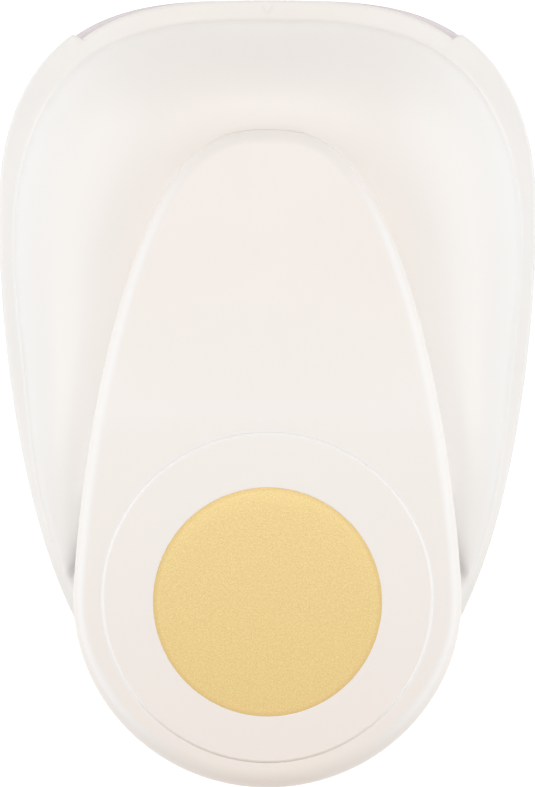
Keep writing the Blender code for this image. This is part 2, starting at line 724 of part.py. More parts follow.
def make_link_block(axis):
    """Block with a screwed flange and the bore of the link pin."""
    flange_depth = BLOCK_HALF_DEPTH + BLOCK_FLANGE_WIDTH
    flange_z = BLOCK_Z + BLOCK_FLANGE_HEIGHT
    top_z = PIVOT_Z + BLOCK_CAP
    rear = CUT_CENTRE_Y - flange_depth
    front = CUT_CENTRE_Y + flange_depth
    side = [(rear, BLOCK_Z), (front, BLOCK_Z), (front, flange_z),
            (CUT_CENTRE_Y + BLOCK_HALF_DEPTH, flange_z), (CUT_CENTRE_Y + BLOCK_HALF_DEPTH, top_z),
            (CUT_CENTRE_Y - BLOCK_HALF_DEPTH, top_z), (CUT_CENTRE_Y - BLOCK_HALF_DEPTH, flange_z),
            (rear, flange_z)]
    block = make_object("link_block", [side_slab(side, -BLOCK_HALF_WIDTH, BLOCK_HALF_WIDTH)])
    bore = turned_across([(LINK_PIN_RADIUS + FIT, -BLOCK_HALF_WIDTH - OVERRUN),
                          (LINK_PIN_RADIUS + FIT, BLOCK_HALF_WIDTH + OVERRUN)], CUT_CENTRE_Y, PIVOT_Z)
    holes = [screw_hole(place, BLOCK_Z - OVERRUN, flange_z + OVERRUN)
             for place in block_screw_places().values()]
    cut(block, "holes", [bore] + holes)
    finish(block, "plate_steel", axis)


def make_link_pin(axis):
    clip_x = ARM_HALF_WIDTH + CLIP_CLEARANCE
    end_x = clip_x + CLIP_THICKNESS + PIN_END
    pin = make_object("link_pin", [turned_across([(LINK_PIN_RADIUS, -end_x), (LINK_PIN_RADIUS, end_x)],
                                                 CUT_CENTRE_Y, PIVOT_Z)])
    finish(pin, "tool_steel", axis)
    for side, sign in (("right", 1), ("left", -1)):
        profile = [(LINK_PIN_RADIUS + FIT, sign * clip_x), (CLIP_RADIUS, sign * clip_x),
                   (CLIP_RADIUS, sign * (clip_x + CLIP_THICKNESS)),
                   (LINK_PIN_RADIUS + FIT, sign * (clip_x + CLIP_THICKNESS))]
        clip = make_object("link_clip_" + side, [turned_across(profile, CUT_CENTRE_Y, PIVOT_Z, tube=True)])
        finish(clip, "spring_steel", axis)


def make_punch_screws(axis):
    for label, place in cutter_screw_places().items():
        screw_down("cutter_screw_" + label, place, PRESSURE_TOP_Z + FIT,
                   CUTTER_TOP_Z - CUTTER_CROWN + FIT, axis)
    for label, place in block_screw_places().items():
        screw_down("block_screw_" + label, place, BLOCK_Z + BLOCK_FLANGE_HEIGHT + FIT,
                   PRESSURE_Z + FIT, axis)


# Springs and their bolts

def make_return_springs():
    """Coils between the pockets and the lugs; each is one tube with filled ends."""
    low = POCKET_Z + FIT + SPRING_WIRE_RADIUS
    high = PRESSURE_Z - FIT - SPRING_WIRE_RADIUS
    count = int(SPRING_TURNS * COIL_STEPS)
    for label, (x, y) in spring_places().items():
        points = []
        for step in range(count + 1):
            turn = 2 * math.pi * step / COIL_STEPS
            points.append(Vector((x + SPRING_RADIUS * math.cos(turn), y + SPRING_RADIUS * math.sin(turn),
                                  low + (high - low) * step / count)))
        curve = bpy.data.curves.new("return_spring_" + label, "CURVE")
        curve.dimensions = "3D"
        curve.bevel_depth = SPRING_WIRE_RADIUS
        curve.bevel_resolution = 1
        curve.use_fill_caps = True
        spline = curve.splines.new("POLY")
        spline.points.add(count)
        for target, point in zip(spline.points, points):
            target.co = (*point, 1)
        made = bpy.data.objects.new("return_spring_" + label, curve)
        bpy.context.scene.collection.objects.link(made)
        finish(made, "spring_steel")
    gaps = [(points[step] - points[step + turn_on]).length for step in range(count)
            for turn_on in (COIL_STEPS - 1, COIL_STEPS, COIL_STEPS + 1) if step + turn_on <= count]
    least_gap = min(gaps) - 2 * SPRING_WIRE_RADIUS
    print("least gap between a spring's turns, mm:", round(least_gap / MILLIMETRE, 2))


def make_shoulder_bolts():
    """Bolts in the guide plate; the lugs rise against their heads."""
    seat_z = PRESSURE_TOP_Z + FIT
    profile = [(BOLT_RADIUS, GUIDE_Z + FIT), (BOLT_RADIUS, seat_z), (BOLT_HEAD_RADIUS, seat_z),
               (BOLT_HEAD_RADIUS, seat_z + BOLT_HEAD_HEIGHT)]
    for label, place in spring_places().items():
        finish(make_object("shoulder_bolt_" + label, [turned(profile, *place)]), "screw_steel")


# Pivot

def bracket_rear_y():
    return CUT_CENTRE_Y + COLLAR_RADIUS + BRACKET_COLLAR_GAP


def bracket_middle_y():
    return bracket_rear_y() + BRACKET_BASE_DEPTH / 2


def make_pivot_bracket():
    """Fork with two round-topped ears on a screwed base."""
    base_z = GUIDE_TOP_Z + FIT
    base = box_slab(BRACKET_BASE_HALF_WIDTH, bracket_rear_y(), bracket_rear_y() + BRACKET_BASE_DEPTH,
                    base_z, base_z + BRACKET_BASE_THICKNESS)
    bracket = make_object("pivot_bracket", [base])
    side = arc(EAR_HALF_DEPTH, (PIVOT_Y, PIVOT_Z), 0, 180, SMALL_STEPS)
    side += [(PIVOT_Y - EAR_HALF_DEPTH, base_z), (PIVOT_Y + EAR_HALF_DEPTH, base_z)]
    join(bracket, "ears", [side_slab(side, EAR_INNER, EAR_OUTER), side_slab(side, -EAR_OUTER, -EAR_INNER)])
    reach = EAR_OUTER + OVERRUN
    bore_radius = PIVOT_PIN_RADIUS + FIT
    bore = turned_across([(bore_radius, -reach), (bore_radius, reach)], PIVOT_Y, PIVOT_Z)
    holes = [screw_hole(place, base_z - OVERRUN, base_z + BRACKET_BASE_THICKNESS + OVERRUN)
             for place in both_sides((BRACKET_SCREW_X, bracket_middle_y())).values()]
    cut(bracket, "holes", [bore] + holes)
    finish(bracket, "plate_steel")


def make_pivot_pin():
    seat_x = EAR_OUTER + FIT
    clip_x = EAR_OUTER + CLIP_CLEARANCE
    profile = [(PIVOT_HEAD_RADIUS, -seat_x - PIVOT_HEAD_HEIGHT), (PIVOT_HEAD_RADIUS, -seat_x),
               (PIVOT_PIN_RADIUS, -seat_x), (PIVOT_PIN_RADIUS, clip_x + CLIP_THICKNESS + PIN_END)]
    finish(make_object("pivot_pin", [turned_across(profile, PIVOT_Y, PIVOT_Z)]), "tool_steel")
    clip_radius = PIVOT_PIN_RADIUS + CLIP_RADIUS - LINK_PIN_RADIUS
    profile = [(PIVOT_PIN_RADIUS + FIT, clip_x), (clip_radius, clip_x),
               (clip_radius, clip_x + CLIP_THICKNESS), (PIVOT_PIN_RADIUS + FIT, clip_x + CLIP_THICKNESS)]
    clip = make_object("pivot_clip", [turned_across(profile, PIVOT_Y, PIVOT_Z, tube=True)])
    finish(clip, "spring_steel")


def make_pivot_bushes(axis):
    """Flanged bushes in the arm's two walls."""
    flange_x = ARM_INNER - FIT
    end_x = EAR_INNER - FIT
    bore = PIVOT_PIN_RADIUS + FIT
    for side, sign in (("right", 1), ("left", -1)):
        profile = [(bore, flange_x - BUSH_FLANGE), (BUSH_FLANGE_RADIUS, flange_x - BUSH_FLANGE),
                   (BUSH_FLANGE_RADIUS, flange_x), (BUSH_RADIUS, flange_x), (BUSH_RADIUS, end_x),
                   (bore, end_x)]
        placed = [(radius, sign * x) for radius, x in profile]
        bush = make_object("pivot_bush_" + side, [turned_across(placed, PIVOT_Y, PIVOT_Z, tube=True)])
        finish(bush, "bush_bronze", axis)


# Lever arm

def arm_top_points():
    return [(PIVOT_Y, PIVOT_Z + ARM_NOSE_RADIUS), (PIVOT_Y - ARM_SHOULDER, ARM_TOP_Z),
            (CUT_CENTRE_Y, ARM_TOP_Z), (ARM_BEND_Y, ARM_BEND_Z), (ARM_REAR_Y, ARM_REAR_Z)]


def arm_top_z(y):
    """Height of the arm's top face, straight between its bends."""
    points = arm_top_points()
    for front, rear in zip(points, points[1:]):
        if y >= rear[0]:
            break
    share = (front[0] - y) / (front[0] - rear[0])
    return front[1] + (rear[1] - front[1]) * share


def make_lever_arm(axis):
    """Channel open below: round nose at the pivot, slots for the link pin, two screw holes."""
    nose = arc(ARM_NOSE_RADIUS, (PIVOT_Y, PIVOT_Z), -90, 90, SMALL_STEPS)
    side = nose + arm_top_points()[1:]
    side += [(ARM_REAR_Y, ARM_REAR_Z - ARM_REAR_DEPTH), (ARM_LOW_BEND_Y, ARM_BEND_Z - ARM_BEND_DEPTH),
             (CUT_CENTRE_Y, PIVOT_Z - ARM_DROP)]
    arm = make_object("lever_arm", [side_slab(side, -ARM_HALF_WIDTH, ARM_HALF_WIDTH)])
    front_y = PIVOT_Y + ARM_NOSE_RADIUS + OVERRUN
    over_z = ARM_TOP_Z + OVERRUN
    under_z = PIVOT_Z - ARM_NOSE_RADIUS - OVERRUN
    roof_y = PIVOT_Y - BUSH_FLANGE_RADIUS - OVERRUN
    rear_y = ARM_REAR_Y - OVERRUN
    under = [(front_y, under_z), (front_y, over_z), (roof_y, over_z), (roof_y, arm_top_z(roof_y) - ARM_WALL)]
    under += [(y, z - ARM_WALL) for y, z in arm_top_points()[1:-1]]
    under += [(rear_y, ARM_REAR_Z - ARM_WALL), (rear_y, under_z)]
    cut(arm, "channel", [side_slab(under, -ARM_INNER, ARM_INNER)])
    reach = ARM_HALF_WIDTH + OVERRUN
    bush_hole = turned_across([(BUSH_RADIUS + FIT, -reach), (BUSH_RADIUS + FIT, reach)], PIVOT_Y, PIVOT_Z)
    slip = (PIVOT_Y - CUT_CENTRE_Y) * (math.hypot(1, LEVER_SWING) - 1)
    slot = stadium(LINK_PIN_RADIUS + FIT, (CUT_CENTRE_Y, PIVOT_Z), (CUT_CENTRE_Y - slip, PIVOT_Z))
    holes = [screw_hole((0, y), arm_top_z(y) - ARM_WALL - OVERRUN, arm_top_z(y) + OVERRUN)
             for y in (LEVER_SCREW_FRONT_Y, LEVER_SCREW_REAR_Y)]
    cut(arm, "holes", [bush_hole, side_slab(slot, -reach, reach)] + holes)
    finish(arm, "plate_steel", axis)


# Lever cover

def lever_top_z(x, y):
    """Long rise from the tip that levels out at the pad; the sides fall away a little."""
    share = min(max((CREST_END_Y - y) / (CREST_END_Y - PAD_FRONT_Y), 0), 1)
    rise = 1 - (1 - share) ** LEVER_RISE_POWER
    crowned = smooth_share(y, PAD_FRONT_Y, PAD_FRONT_Y + LEVER_CROWN_RUN)
    crown = LEVER_CROWN * (x / LEVER_HALF_WIDTH) ** 2 * crowned
    return LEVER_TOP_TIP_Z + (LEVER_TOP_PAD_Z - LEVER_TOP_TIP_Z) * rise - crown


def lever_roof_z(x, y):
    """Underside of the cover's roof, which is thicker under the pad."""
    share = 1 - smooth_share(y, PAD_FRONT_Y, PAD_FRONT_Y + PAD_ROOF_BLEND)
    pad_roof = LEVER_TOP_PAD_Z - LEVER_PAD_ROOF_Z
    return lever_top_z(x, y) - LEVER_WALL - (pad_roof - LEVER_WALL) * share


def lever_skirt_z(y):
    """Lower edge of the cover, which just clears the case when pressed and rises at the tip."""
    pressed = CREST_LOW_Z + LEVER_SKIRT_GAP + (PIVOT_Y - y) * math.tan(LEVER_SWING)
    over_cutter = smooth_share(y, CUT_CENTRE_Y - LEVER_SKIRT_START_BACK, CUT_CENTRE_Y - LEVER_SKIRT_END_BACK)
    low = pressed + (max(pressed, PRESSURE_TOP_Z + LEVER_SKIRT_OVER_PLATE) - pressed) * over_cutter
    tip_z = LEVER_TOP_TIP_Z - LEVER_TIP_SKIRT_DEPTH
    at_tip = smooth_share(y, CREST_END_Y - LEVER_TIP_START_BACK, CREST_END_Y - LEVER_TIP_END_BACK)
    return low + (tip_z - low) * at_tip


def make_lever_shell(axis):
    """Thin tub turned upside down, with a seat for the pad and two bosses on the arm."""
    frames = outline_frames("lever", LEVER_STEPS)

    def ring(inset_of, z_of):
        points = []
        for x, y, normal_x, normal_y in frames:
            inset = inset_of(y)
            here_x = x - inset * normal_x
            here_y = y - inset * normal_y
            points.append((here_x, here_y, z_of(here_x, here_y, y)))
        return points

    def edge_round(y):
        tail = smooth_share(-y, -LEVER_WIDEST_Y, LEVER_REAR_REACH - LEVER_WIDEST_Y)
        return LEVER_EDGE_ROUND + (LEVER_TAIL_ROUND - LEVER_EDGE_ROUND) * tail

    def shrunk(points, share, z_of):
        middle_y = LEVER_WIDEST_Y + (LEVER_FRONT_REACH - LEVER_REAR_REACH) / 2
        moved = [(x * share, middle_y + (y - middle_y) * share) for x, y, z in points]
        return [(x, y, z_of(x, y)) for x, y in moved]

    outer = [ring(lambda y: 0, lambda x, y, at: lever_skirt_z(at))]
    for turn in EDGE_TURNS:
        angle = math.radians(turn)
        outer.append(ring(lambda y: edge_round(y) * (1 - math.cos(angle)),
                          lambda x, y, at: lever_top_z(x, y) - edge_round(at) * (1 - math.sin(angle))))
    outer += [shrunk(outer[-1], share, lever_top_z) for share in TOP_SHARES]
    inner = [ring(lambda y: LEVER_WALL, lambda x, y, at: lever_skirt_z(at)),
             ring(lambda y: LEVER_WALL, lambda x, y, at: lever_roof_z(x, y))]
    inner += [shrunk(inner[-1], share, lever_roof_z) for share in TOP_SHARES]
    shell = make_object("lever_shell", [(list(reversed(inner)) + outer, False)])

    bosses = []
    holes = []
    for y in (LEVER_SCREW_FRONT_Y, LEVER_SCREW_REAR_Y):
        foot_z = arm_top_z(y - LEVER_BOSS_RADIUS) + FIT
        roof_z = lever_roof_z(0, y) + LEVER_WALL / 2
        bosses.append(turned([(LEVER_BOSS_RADIUS, foot_z), (LEVER_BOSS_RADIUS, roof_z)], 0, y))
        holes.append(screw_hole((0, y), foot_z - OVERRUN, foot_z + LEVER_SCREW_DEPTH))
    join(shell, "bosses", bosses)
    seat_radius = PAD_RADIUS + PAD_GROOVE
    holes.append(turned([(seat_radius, PAD_SEAT_Z), (seat_radius, LEVER_TOP_PAD_Z + OVERRUN)],
                        0, PAD_CENTRE_Y, DISC_STEPS))
    cut(shell, "seat_and_holes", holes)
    cut(shell, "pad_holes", [screw_hole(place, LEVER_PAD_ROOF_Z - OVERRUN, PAD_SEAT_Z + OVERRUN)
                             for place in both_sides((PAD_SCREW_X, PAD_CENTRE_Y)).values()])
    finish(shell, "lever_plastic", axis)


def make_pad(axis):
    """Round palm pad with an off-centre seat for the disc, and the disc in it."""
    edge = PAD_RADIUS - PAD_EDGE_ROUND
    profile = [(PAD_RADIUS, PAD_Z), (PAD_RADIUS, LEVER_TOP_PAD_Z - PAD_EDGE_ROUND), (edge, LEVER_TOP_PAD_Z)]
    pad = make_object("pad_cap", [turned(profile, 0, PAD_CENTRE_Y, DISC_STEPS)])
    seat_radius = DISC_RADIUS + FIT
    seat_z = LEVER_TOP_PAD_Z - DISC_THICKNESS - FIT
    seat = turned([(seat_radius, seat_z), (seat_radius, LEVER_TOP_PAD_Z + OVERRUN)],
                  0, DISC_CENTRE_Y, DISC_STEPS)
    holes = [screw_hole(place, PAD_Z - OVERRUN, PAD_Z + PAD_SCREW_DEPTH)
             for place in both_sides((PAD_SCREW_X, PAD_CENTRE_Y)).values()]
    cut(pad, "seat_and_holes", [seat] + holes)
    finish(pad, "lever_plastic", axis)
    disc = make_object("gold_disc", [turned([(DISC_RADIUS, seat_z + FIT), (DISC_RADIUS, LEVER_TOP_PAD_Z)],
                                            0, DISC_CENTRE_Y, DISC_STEPS)])
    finish(disc, "gold", axis)


def make_lever_screws(axis):
    for label, y in (("front", LEVER_SCREW_FRONT_Y), ("rear", LEVER_SCREW_REAR_Y)):
        seat_z = arm_top_z(y + SCREW_HEAD_RADIUS) - ARM_WALL - FIT
        profile = [(SCREW_HEAD_RADIUS, seat_z - SCREW_HEAD_HEIGHT), (SCREW_HEAD_RADIUS, seat_z),
                   (SCREW_RADIUS, seat_z), (SCREW_RADIUS, arm_top_z(y) + SCREW_BITE)]
        finish(make_object("lever_screw_" + label, [turned(profile, 0, y)]), "screw_steel", axis)
    seat_z = LEVER_PAD_ROOF_Z - FIT
    profile = [(SCREW_HEAD_RADIUS, seat_z - SCREW_HEAD_HEIGHT), (SCREW_HEAD_RADIUS, seat_z),
               (SCREW_RADIUS, seat_z), (SCREW_RADIUS, PAD_Z + PAD_SCREW_DEPTH - FIT)]
    for side, place in both_sides((PAD_SCREW_X, PAD_CENTRE_Y)).items():
        finish(make_object("pad_screw_" + side, [turned(profile, *place)]), "screw_steel", axis)


# Upper case

def notch_angle():
    """Direction, seen from the case centre, of the mouth's corner on the body outline."""
    share = 1 - (MOUTH_HALF_WIDTH / BODY_HALF_WIDTH) ** BODY_FRONT_POWERS[0]
    y = BODY_WIDEST_Y + BODY_FRONT_REACH * share ** (1 / BODY_FRONT_POWERS[1])
    return math.atan2(y - CASE_CENTRE_Y, MOUTH_HALF_WIDTH)


def case_angles():
    """Directions of the case's columns, even but for a close pair at each mouth corner."""
    corner = notch_angle()
    half_notch = NOTCH_WIDTH / BODY_HALF_WIDTH / 2
    spacing = 2 * math.pi / BODY_STEPS
    right = [-math.pi / 2 + spacing * step for step in range(BODY_STEPS // 2 + 1)]
    right = [angle for angle in right if abs(angle - corner) > spacing / 2]
    right = sorted(right + [corner - half_notch, corner + half_notch])
    return right + [math.pi - angle for angle in reversed(right[1:-1])]


def case_inner_reach(angle):
    """Inner edge of the case: round the lever in front, a ring of least width behind."""
    lever_edge = reach_along("lever", angle) + LEVER_GAP
    ring_edge = reach_along("body", angle) - CASE_MIN_RING
    return (lever_edge + ring_edge - math.hypot(lever_edge - ring_edge, CASE_BLEND)) / 2


def brim_width(angle):
    """Brim seen from above, by degrees turned from the mouth: widest at the front corners."""
    turn = math.degrees(math.acos(max(min(math.sin(angle), 1), -1)))
    width = BRIM_FRONT
    for goal, start, end in BRIM_CHANGES:
        width += (goal - width) * smooth_share(turn, start, end)
    return width


def case_sizes(angle):
    """Radii of the rim, shoulder and crest in one direction, and the crest's height."""
    outer = reach_along("body", angle)
    inner = case_inner_reach(angle)
    brim = min(brim_width(angle), (outer - inner) * BRIM_MOST_SHARE)
    return outer, outer - brim, inner, crest_z(CASE_CENTRE_Y + inner * math.sin(angle))


def crest_z(y):
    """Height of the case's edge round the lever, rising towards the mouth."""
    share = (y - CREST_START_Y) / (CREST_END_Y - CREST_START_Y)
    return CREST_LOW_Z + CREST_RISE * min(max(share, 0), 1) ** CREST_POWER


def case_roof_z(x, y):
    """Height of the dome's outer face over a point between the lever and the brim."""
    angle = math.atan2(y - CASE_CENTRE_Y, x)
    outer, shoulder, inner, top = case_sizes(angle)
    across = (math.hypot(x, y - CASE_CENTRE_Y) - inner) / (shoulder - inner)
    return SHOULDER_Z + (top - SHOULDER_Z) * math.sqrt(1 - min(max(across, 0), 1) ** 2)


def case_profile(angle):
    """(radius, z) pairs round the case wall, from the outer foot over the crest and back inside."""
    outer, shoulder, inner, top = case_sizes(angle)
    in_mouth = abs(math.cos(angle)) < math.cos(notch_angle()) and math.sin(angle) > 0
    foot_z = MOUTH_Z if in_mouth else GUIDE_Z
    recess = 0
    if in_mouth:
        side_share = (math.cos(angle) * outer / MOUTH_HALF_WIDTH) ** 2
        recess = MOUTH_RECESS_MIDDLE + (MOUTH_RECESS_SIDE - MOUTH_RECESS_MIDDLE) * side_share
    rim = outer - recess
    crest = inner + CASE_LIP_ROUND
    profile = [(rim, foot_z), (rim, BRIM_RIM_Z), (rim - BRIM_ROUND, BRIM_RIM_Z + BRIM_ROUND),
               (shoulder + (rim - shoulder) * SHOULDER_SHARE, SHOULDER_Z - BRIM_DIP)]
    for turn in DOME_TURNS:
        across = math.cos(math.radians(turn))
        rise = math.sin(math.radians(turn))
        profile.append((crest + (shoulder - crest) * across, SHOULDER_Z + (top - SHOULDER_Z) * rise))
    lip_z = max(top - CASE_LIP_DEPTH, DECK_Z)
    wall = inner + CASE_LIP
    foot = rim - CASE_WALL
    inner_shoulder = max(shoulder - CASE_WALL, wall + CASE_LEAST_HOLLOW)
    profile += [(inner, top - CASE_LIP_ROUND), (inner, lip_z), (wall, lip_z)]
    for turn in HOLLOW_TURNS:
        across = math.cos(math.radians(turn))
        rise = math.sin(math.radians(turn))
        profile.append((wall + (inner_shoulder - wall) * across, DECK_Z + (top - CASE_WALL - DECK_Z) * rise))
    return profile + [(foot, DECK_Z), (foot, foot_z)]


def case_post_places():
    places = {}
    for row, turn_share in (("front", FRONT_POST_TURN_SHARE), ("rear", REAR_POST_TURN_SHARE)):
        for side, mirrored in both_sides(collar_place(turn_share)).items():
            places[row + "_" + side] = mirrored
    return places


def make_housing_shell():
    """Domed ring with a brim, open round the lever, with four screw posts inside."""
    angles = case_angles()
    profiles = [case_profile(angle) for angle in angles]
    rings = []
    for step in range(len(profiles[0])):
        ring = []
        for angle, profile in zip(angles, profiles):
            radius, z = profile[step]
            ring.append((radius * math.cos(angle), CASE_CENTRE_Y + radius * math.sin(angle), z))
        rings.append(ring)
    shell = make_object("housing_shell", [(rings, True)])
    posts = []
    holes = []
    for x, y in case_post_places().values():
        around = [case_roof_z(*point) for point in arc(CASE_POST_RADIUS, (x, y), 0, 360, SMALL_STEPS)]
        post_top_z = min(around) - CASE_WALL / 2
        posts.append(turned([(CASE_POST_RADIUS, DECK_Z), (CASE_POST_RADIUS, post_top_z)], x, y))
        holes.append(screw_hole((x, y), DECK_Z - OVERRUN, DECK_Z + SCREW_BITE + FIT))
    join(shell, "posts", posts)
    cut(shell, "post_holes", holes)
    finish(shell, "case_plastic")


def make_rear_deck():
    """Cover under the lever's tail, with a bulkhead that is notched for the arm."""
    angles = case_angles()
    points = []
    for angle in angles:
        radius = case_inner_reach(angle) - FIT
        points.append((radius * math.cos(angle), CASE_CENTRE_Y + radius * math.sin(angle)))
    deck = make_object("rear_deck", [slab(clip_outline(points, high=DECK_FRONT_Y), DECK_Z, DECK_TOP_Z)])
    bulkhead = box_slab(BULKHEAD_HALF_WIDTH, DECK_FRONT_Y - BULKHEAD_THICKNESS, DECK_FRONT_Y,
                        DECK_Z, DECK_TOP_Z + BULKHEAD_HEIGHT)
    join(deck, "bulkhead", [bulkhead])
    notch = box_slab(BULKHEAD_NOTCH_HALF_WIDTH, DECK_FRONT_Y - BULKHEAD_THICKNESS - OVERRUN,
                     DECK_FRONT_Y + OVERRUN, BULKHEAD_NOTCH_Z, DECK_TOP_Z + BULKHEAD_HEIGHT + OVERRUN)
    holes = [screw_hole(place, DECK_Z - OVERRUN, DECK_TOP_Z + OVERRUN)
             for place in both_sides(rear_place(DECK_SCREW_SHARES)).values()]
    cut(deck, "notch_and_holes", [notch] + holes)
    finish(deck, "case_plastic")


# Screws of the frame

def make_frame_screws():
    for row, place, head_z, tip_z, name in (
            ("front", rear_place(FRAME_FRONT_SHARES), DIE_Z, GUIDE_TOP_Z - FIT, "frame_screw_"),
            ("rear", rear_place(FRAME_REAR_SHARES), DIE_Z, GUIDE_TOP_Z - FIT, "frame_screw_"),
            ("front", collar_place(TRAY_FRONT_TURN_SHARE), FIT, DIE_TOP_Z - FIT, "tray_screw_"),
            ("rear", rear_place(TRAY_REAR_SHARES), FIT, DIE_TOP_Z - FIT, "tray_screw_")):
        for side, mirrored in both_sides(place).items():
            screw_up(name + row + "_" + side, mirrored, head_z, tip_z)
    for label, place in case_post_places().items():
        screw_up("housing_screw_" + label, place, GUIDE_Z, DECK_Z + SCREW_BITE)
    bracket_seat_z = GUIDE_TOP_Z + FIT + BRACKET_BASE_THICKNESS + FIT
    for side, place in both_sides((BRACKET_SCREW_X, bracket_middle_y())).items():
        screw_down("bracket_screw_" + side, place, bracket_seat_z, GUIDE_Z + FIT)
    for side, place in both_sides(rear_place(DECK_SCREW_SHARES)).items():
        screw_down("deck_screw_" + side, place, DECK_TOP_Z + FIT, GUIDE_Z + FIT)


def main():
    for old in list(bpy.data.objects):
        bpy.data.objects.remove(old)
    lever_axis = make_axis("lever_axis", PIVOT_Y, PIVOT_Z)
    punch_axis = make_axis("punch_axis", CUT_CENTRE_Y, PRESSURE_Z)
    make_base_tray()
    make_die_plate()
    make_paper_stop()
    make_guide_plate()
    make_return_springs()
    make_shoulder_bolts()
    make_pivot_bracket()
    make_pivot_pin()
    make_housing_shell()
    make_rear_deck()
    make_frame_screws()
    make_punch_cutter(punch_axis)
    make_pressure_plate(punch_axis)
    make_link_block(punch_axis)
    make_link_pin(punch_axis)
    make_punch_screws(punch_axis)
    make_lever_arm(lever_axis)
    make_pivot_bushes(lever_axis)
    make_lever_shell(lever_axis)
    make_pad(lever_axis)
    make_lever_screws(lever_axis)


main()
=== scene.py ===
import math

import bmesh
import bpy
import numpy as np
from mathutils import Euler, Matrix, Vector
from mathutils.geometry import delaunay_2d_cdt


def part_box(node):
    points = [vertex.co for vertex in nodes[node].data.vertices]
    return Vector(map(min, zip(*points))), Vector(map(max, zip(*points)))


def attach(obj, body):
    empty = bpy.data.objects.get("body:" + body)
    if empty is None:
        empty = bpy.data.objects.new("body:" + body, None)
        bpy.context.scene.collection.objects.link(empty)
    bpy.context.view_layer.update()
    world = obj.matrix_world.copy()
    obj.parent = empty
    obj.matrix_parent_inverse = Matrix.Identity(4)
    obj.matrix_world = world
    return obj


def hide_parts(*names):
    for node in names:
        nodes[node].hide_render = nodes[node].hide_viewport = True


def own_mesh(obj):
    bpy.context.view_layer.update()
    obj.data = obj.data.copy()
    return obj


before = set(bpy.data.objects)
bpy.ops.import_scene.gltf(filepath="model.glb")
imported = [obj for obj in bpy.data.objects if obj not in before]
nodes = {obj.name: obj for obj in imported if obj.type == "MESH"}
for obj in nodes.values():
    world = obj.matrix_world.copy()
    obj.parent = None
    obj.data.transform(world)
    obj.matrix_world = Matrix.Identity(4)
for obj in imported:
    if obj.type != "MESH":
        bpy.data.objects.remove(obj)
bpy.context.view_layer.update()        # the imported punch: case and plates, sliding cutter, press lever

mm = 0.001               # every size below is in millimetres; buildPiece turns it into metres


# Helpers for meshes

def skin(rows, ring=False, ends=("first", "last")):
    # Points and faces over rows of points, each row closed on itself. Rows join end to end when ring is
    # true; otherwise the rows named in ends are closed by a fan to their own centre.
    rows = np.asarray(rows, float)
    rowCount, columnCount = rows.shape[:2]
    points = rows.reshape(-1, 3)
    row = np.arange(rowCount if ring else rowCount - 1)[:, None]
    column = np.arange(columnCount)[None, :]
    nextRow, nextColumn = (row + 1) % rowCount, (column + 1) % columnCount
    faces = [np.stack(np.broadcast_arrays(row * columnCount + column, row * columnCount + nextColumn,
                                          nextRow * columnCount + nextColumn,
                                          nextRow * columnCount + column), -1).reshape(-1, 4)]
    around = np.arange(columnCount)
    after = (around + 1) % columnCount
    if not ring and "first" in ends:
        faces.append(np.stack([after, around, np.full(columnCount, len(points))], -1))
        points = np.concatenate([points, rows[0].mean(0)[None]])
    if not ring and "last" in ends:
        base = (rowCount - 1) * columnCount
        faces.append(np.stack([base + around, base + after, np.full(columnCount, len(points))], -1))
        points = np.concatenate([points, rows[-1].mean(0)[None]])
    return points, faces


def flatSheet(loops, holes):
    # A flat sheet between closed loops of points: Delaunay triangles that keep to the loops, less
    # those whose middle lies nearer to a hole's centre than the hole's radius. holes are (x, y, radius).
    points = np.concatenate(loops)
    ends = np.cumsum([len(loop) for loop in loops])
    after = np.arange(1, len(points) + 1)
    after[ends - 1] = ends - [len(loop) for loop in loops]
    links = np.stack([np.arange(len(points)), after], -1)
    found = delaunay_2d_cdt(points[:, :2].tolist(), links.tolist(), [], 1, 1e-6)
    faces = np.array(found[3])[:, 0][np.array(found[2])]
    middle = points[faces][..., :2].mean(1)
    for x, y, radius in holes:
        beyond = np.hypot(middle[:, 0] - x, middle[:, 1] - y) > radius
        faces, middle = faces[beyond], middle[beyond]
    return points, [faces]


def buildPiece(name, parts, material, body=None, weld=False, rim=None, sharpAngle=38):
    # One mesh from several skins; weld merges the points that they share and turns the faces outward.
    # rim gives each of the first points its share, from 0 to 1, of a painted highlight, painted shade or
    # painted light.
    points, faces = np.zeros((0, 3)), []
    for partPoints, partFaces in parts:
        for group in partFaces:
            faces += (group + len(points)).tolist()
        points = np.concatenate([points, partPoints])
    mesh = bpy.data.meshes.new(name)
    mesh.from_pydata((points * mm).tolist(), [], faces)
    if rim is not None:
        share = np.zeros(len(points))
        share[:rim.size] = rim.ravel()
        mesh.attributes.new("rim", "FLOAT", "POINT").data.foreach_set("value", share)
    if weld:
        work = bmesh.new()
        work.from_mesh(mesh)
        bmesh.ops.remove_doubles(work, verts=work.verts, dist=1e-7)
        bmesh.ops.recalc_face_normals(work, faces=work.faces)
        work.to_mesh(mesh)
        work.free()
    mesh.validate()
    mesh.shade_smooth()
    mesh.set_sharp_from_angle(angle=math.radians(sharpAngle))
    mesh.materials.append(material)
    piece = bpy.data.objects.new(name, mesh)
    bpy.context.scene.collection.objects.link(piece)
    if body:
        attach(piece, body)
    return piece


def softCorner(before, corner, after, size, steps, most=0.48):
    # Rounds one corner of a profile in every column at once: the curve starts size short of the
    # corner, ends size past it and follows start*(1-t)^2 + corner*2t(1-t) + end*t^2. It uses up
    # no more of either side than the share that most gives.
    def towards(goal):
        way = goal - corner
        length = np.linalg.norm(way, axis=-1, keepdims=True)
        return corner + way / np.maximum(length, 1e-9) * np.minimum(size, length * most)

    start, end = towards(before), towards(after)
    t = np.linspace(0, 1, steps + 1)[:, None, None]
    return start * (1 - t) ** 2 + corner * 2 * t * (1 - t) + end * t ** 2


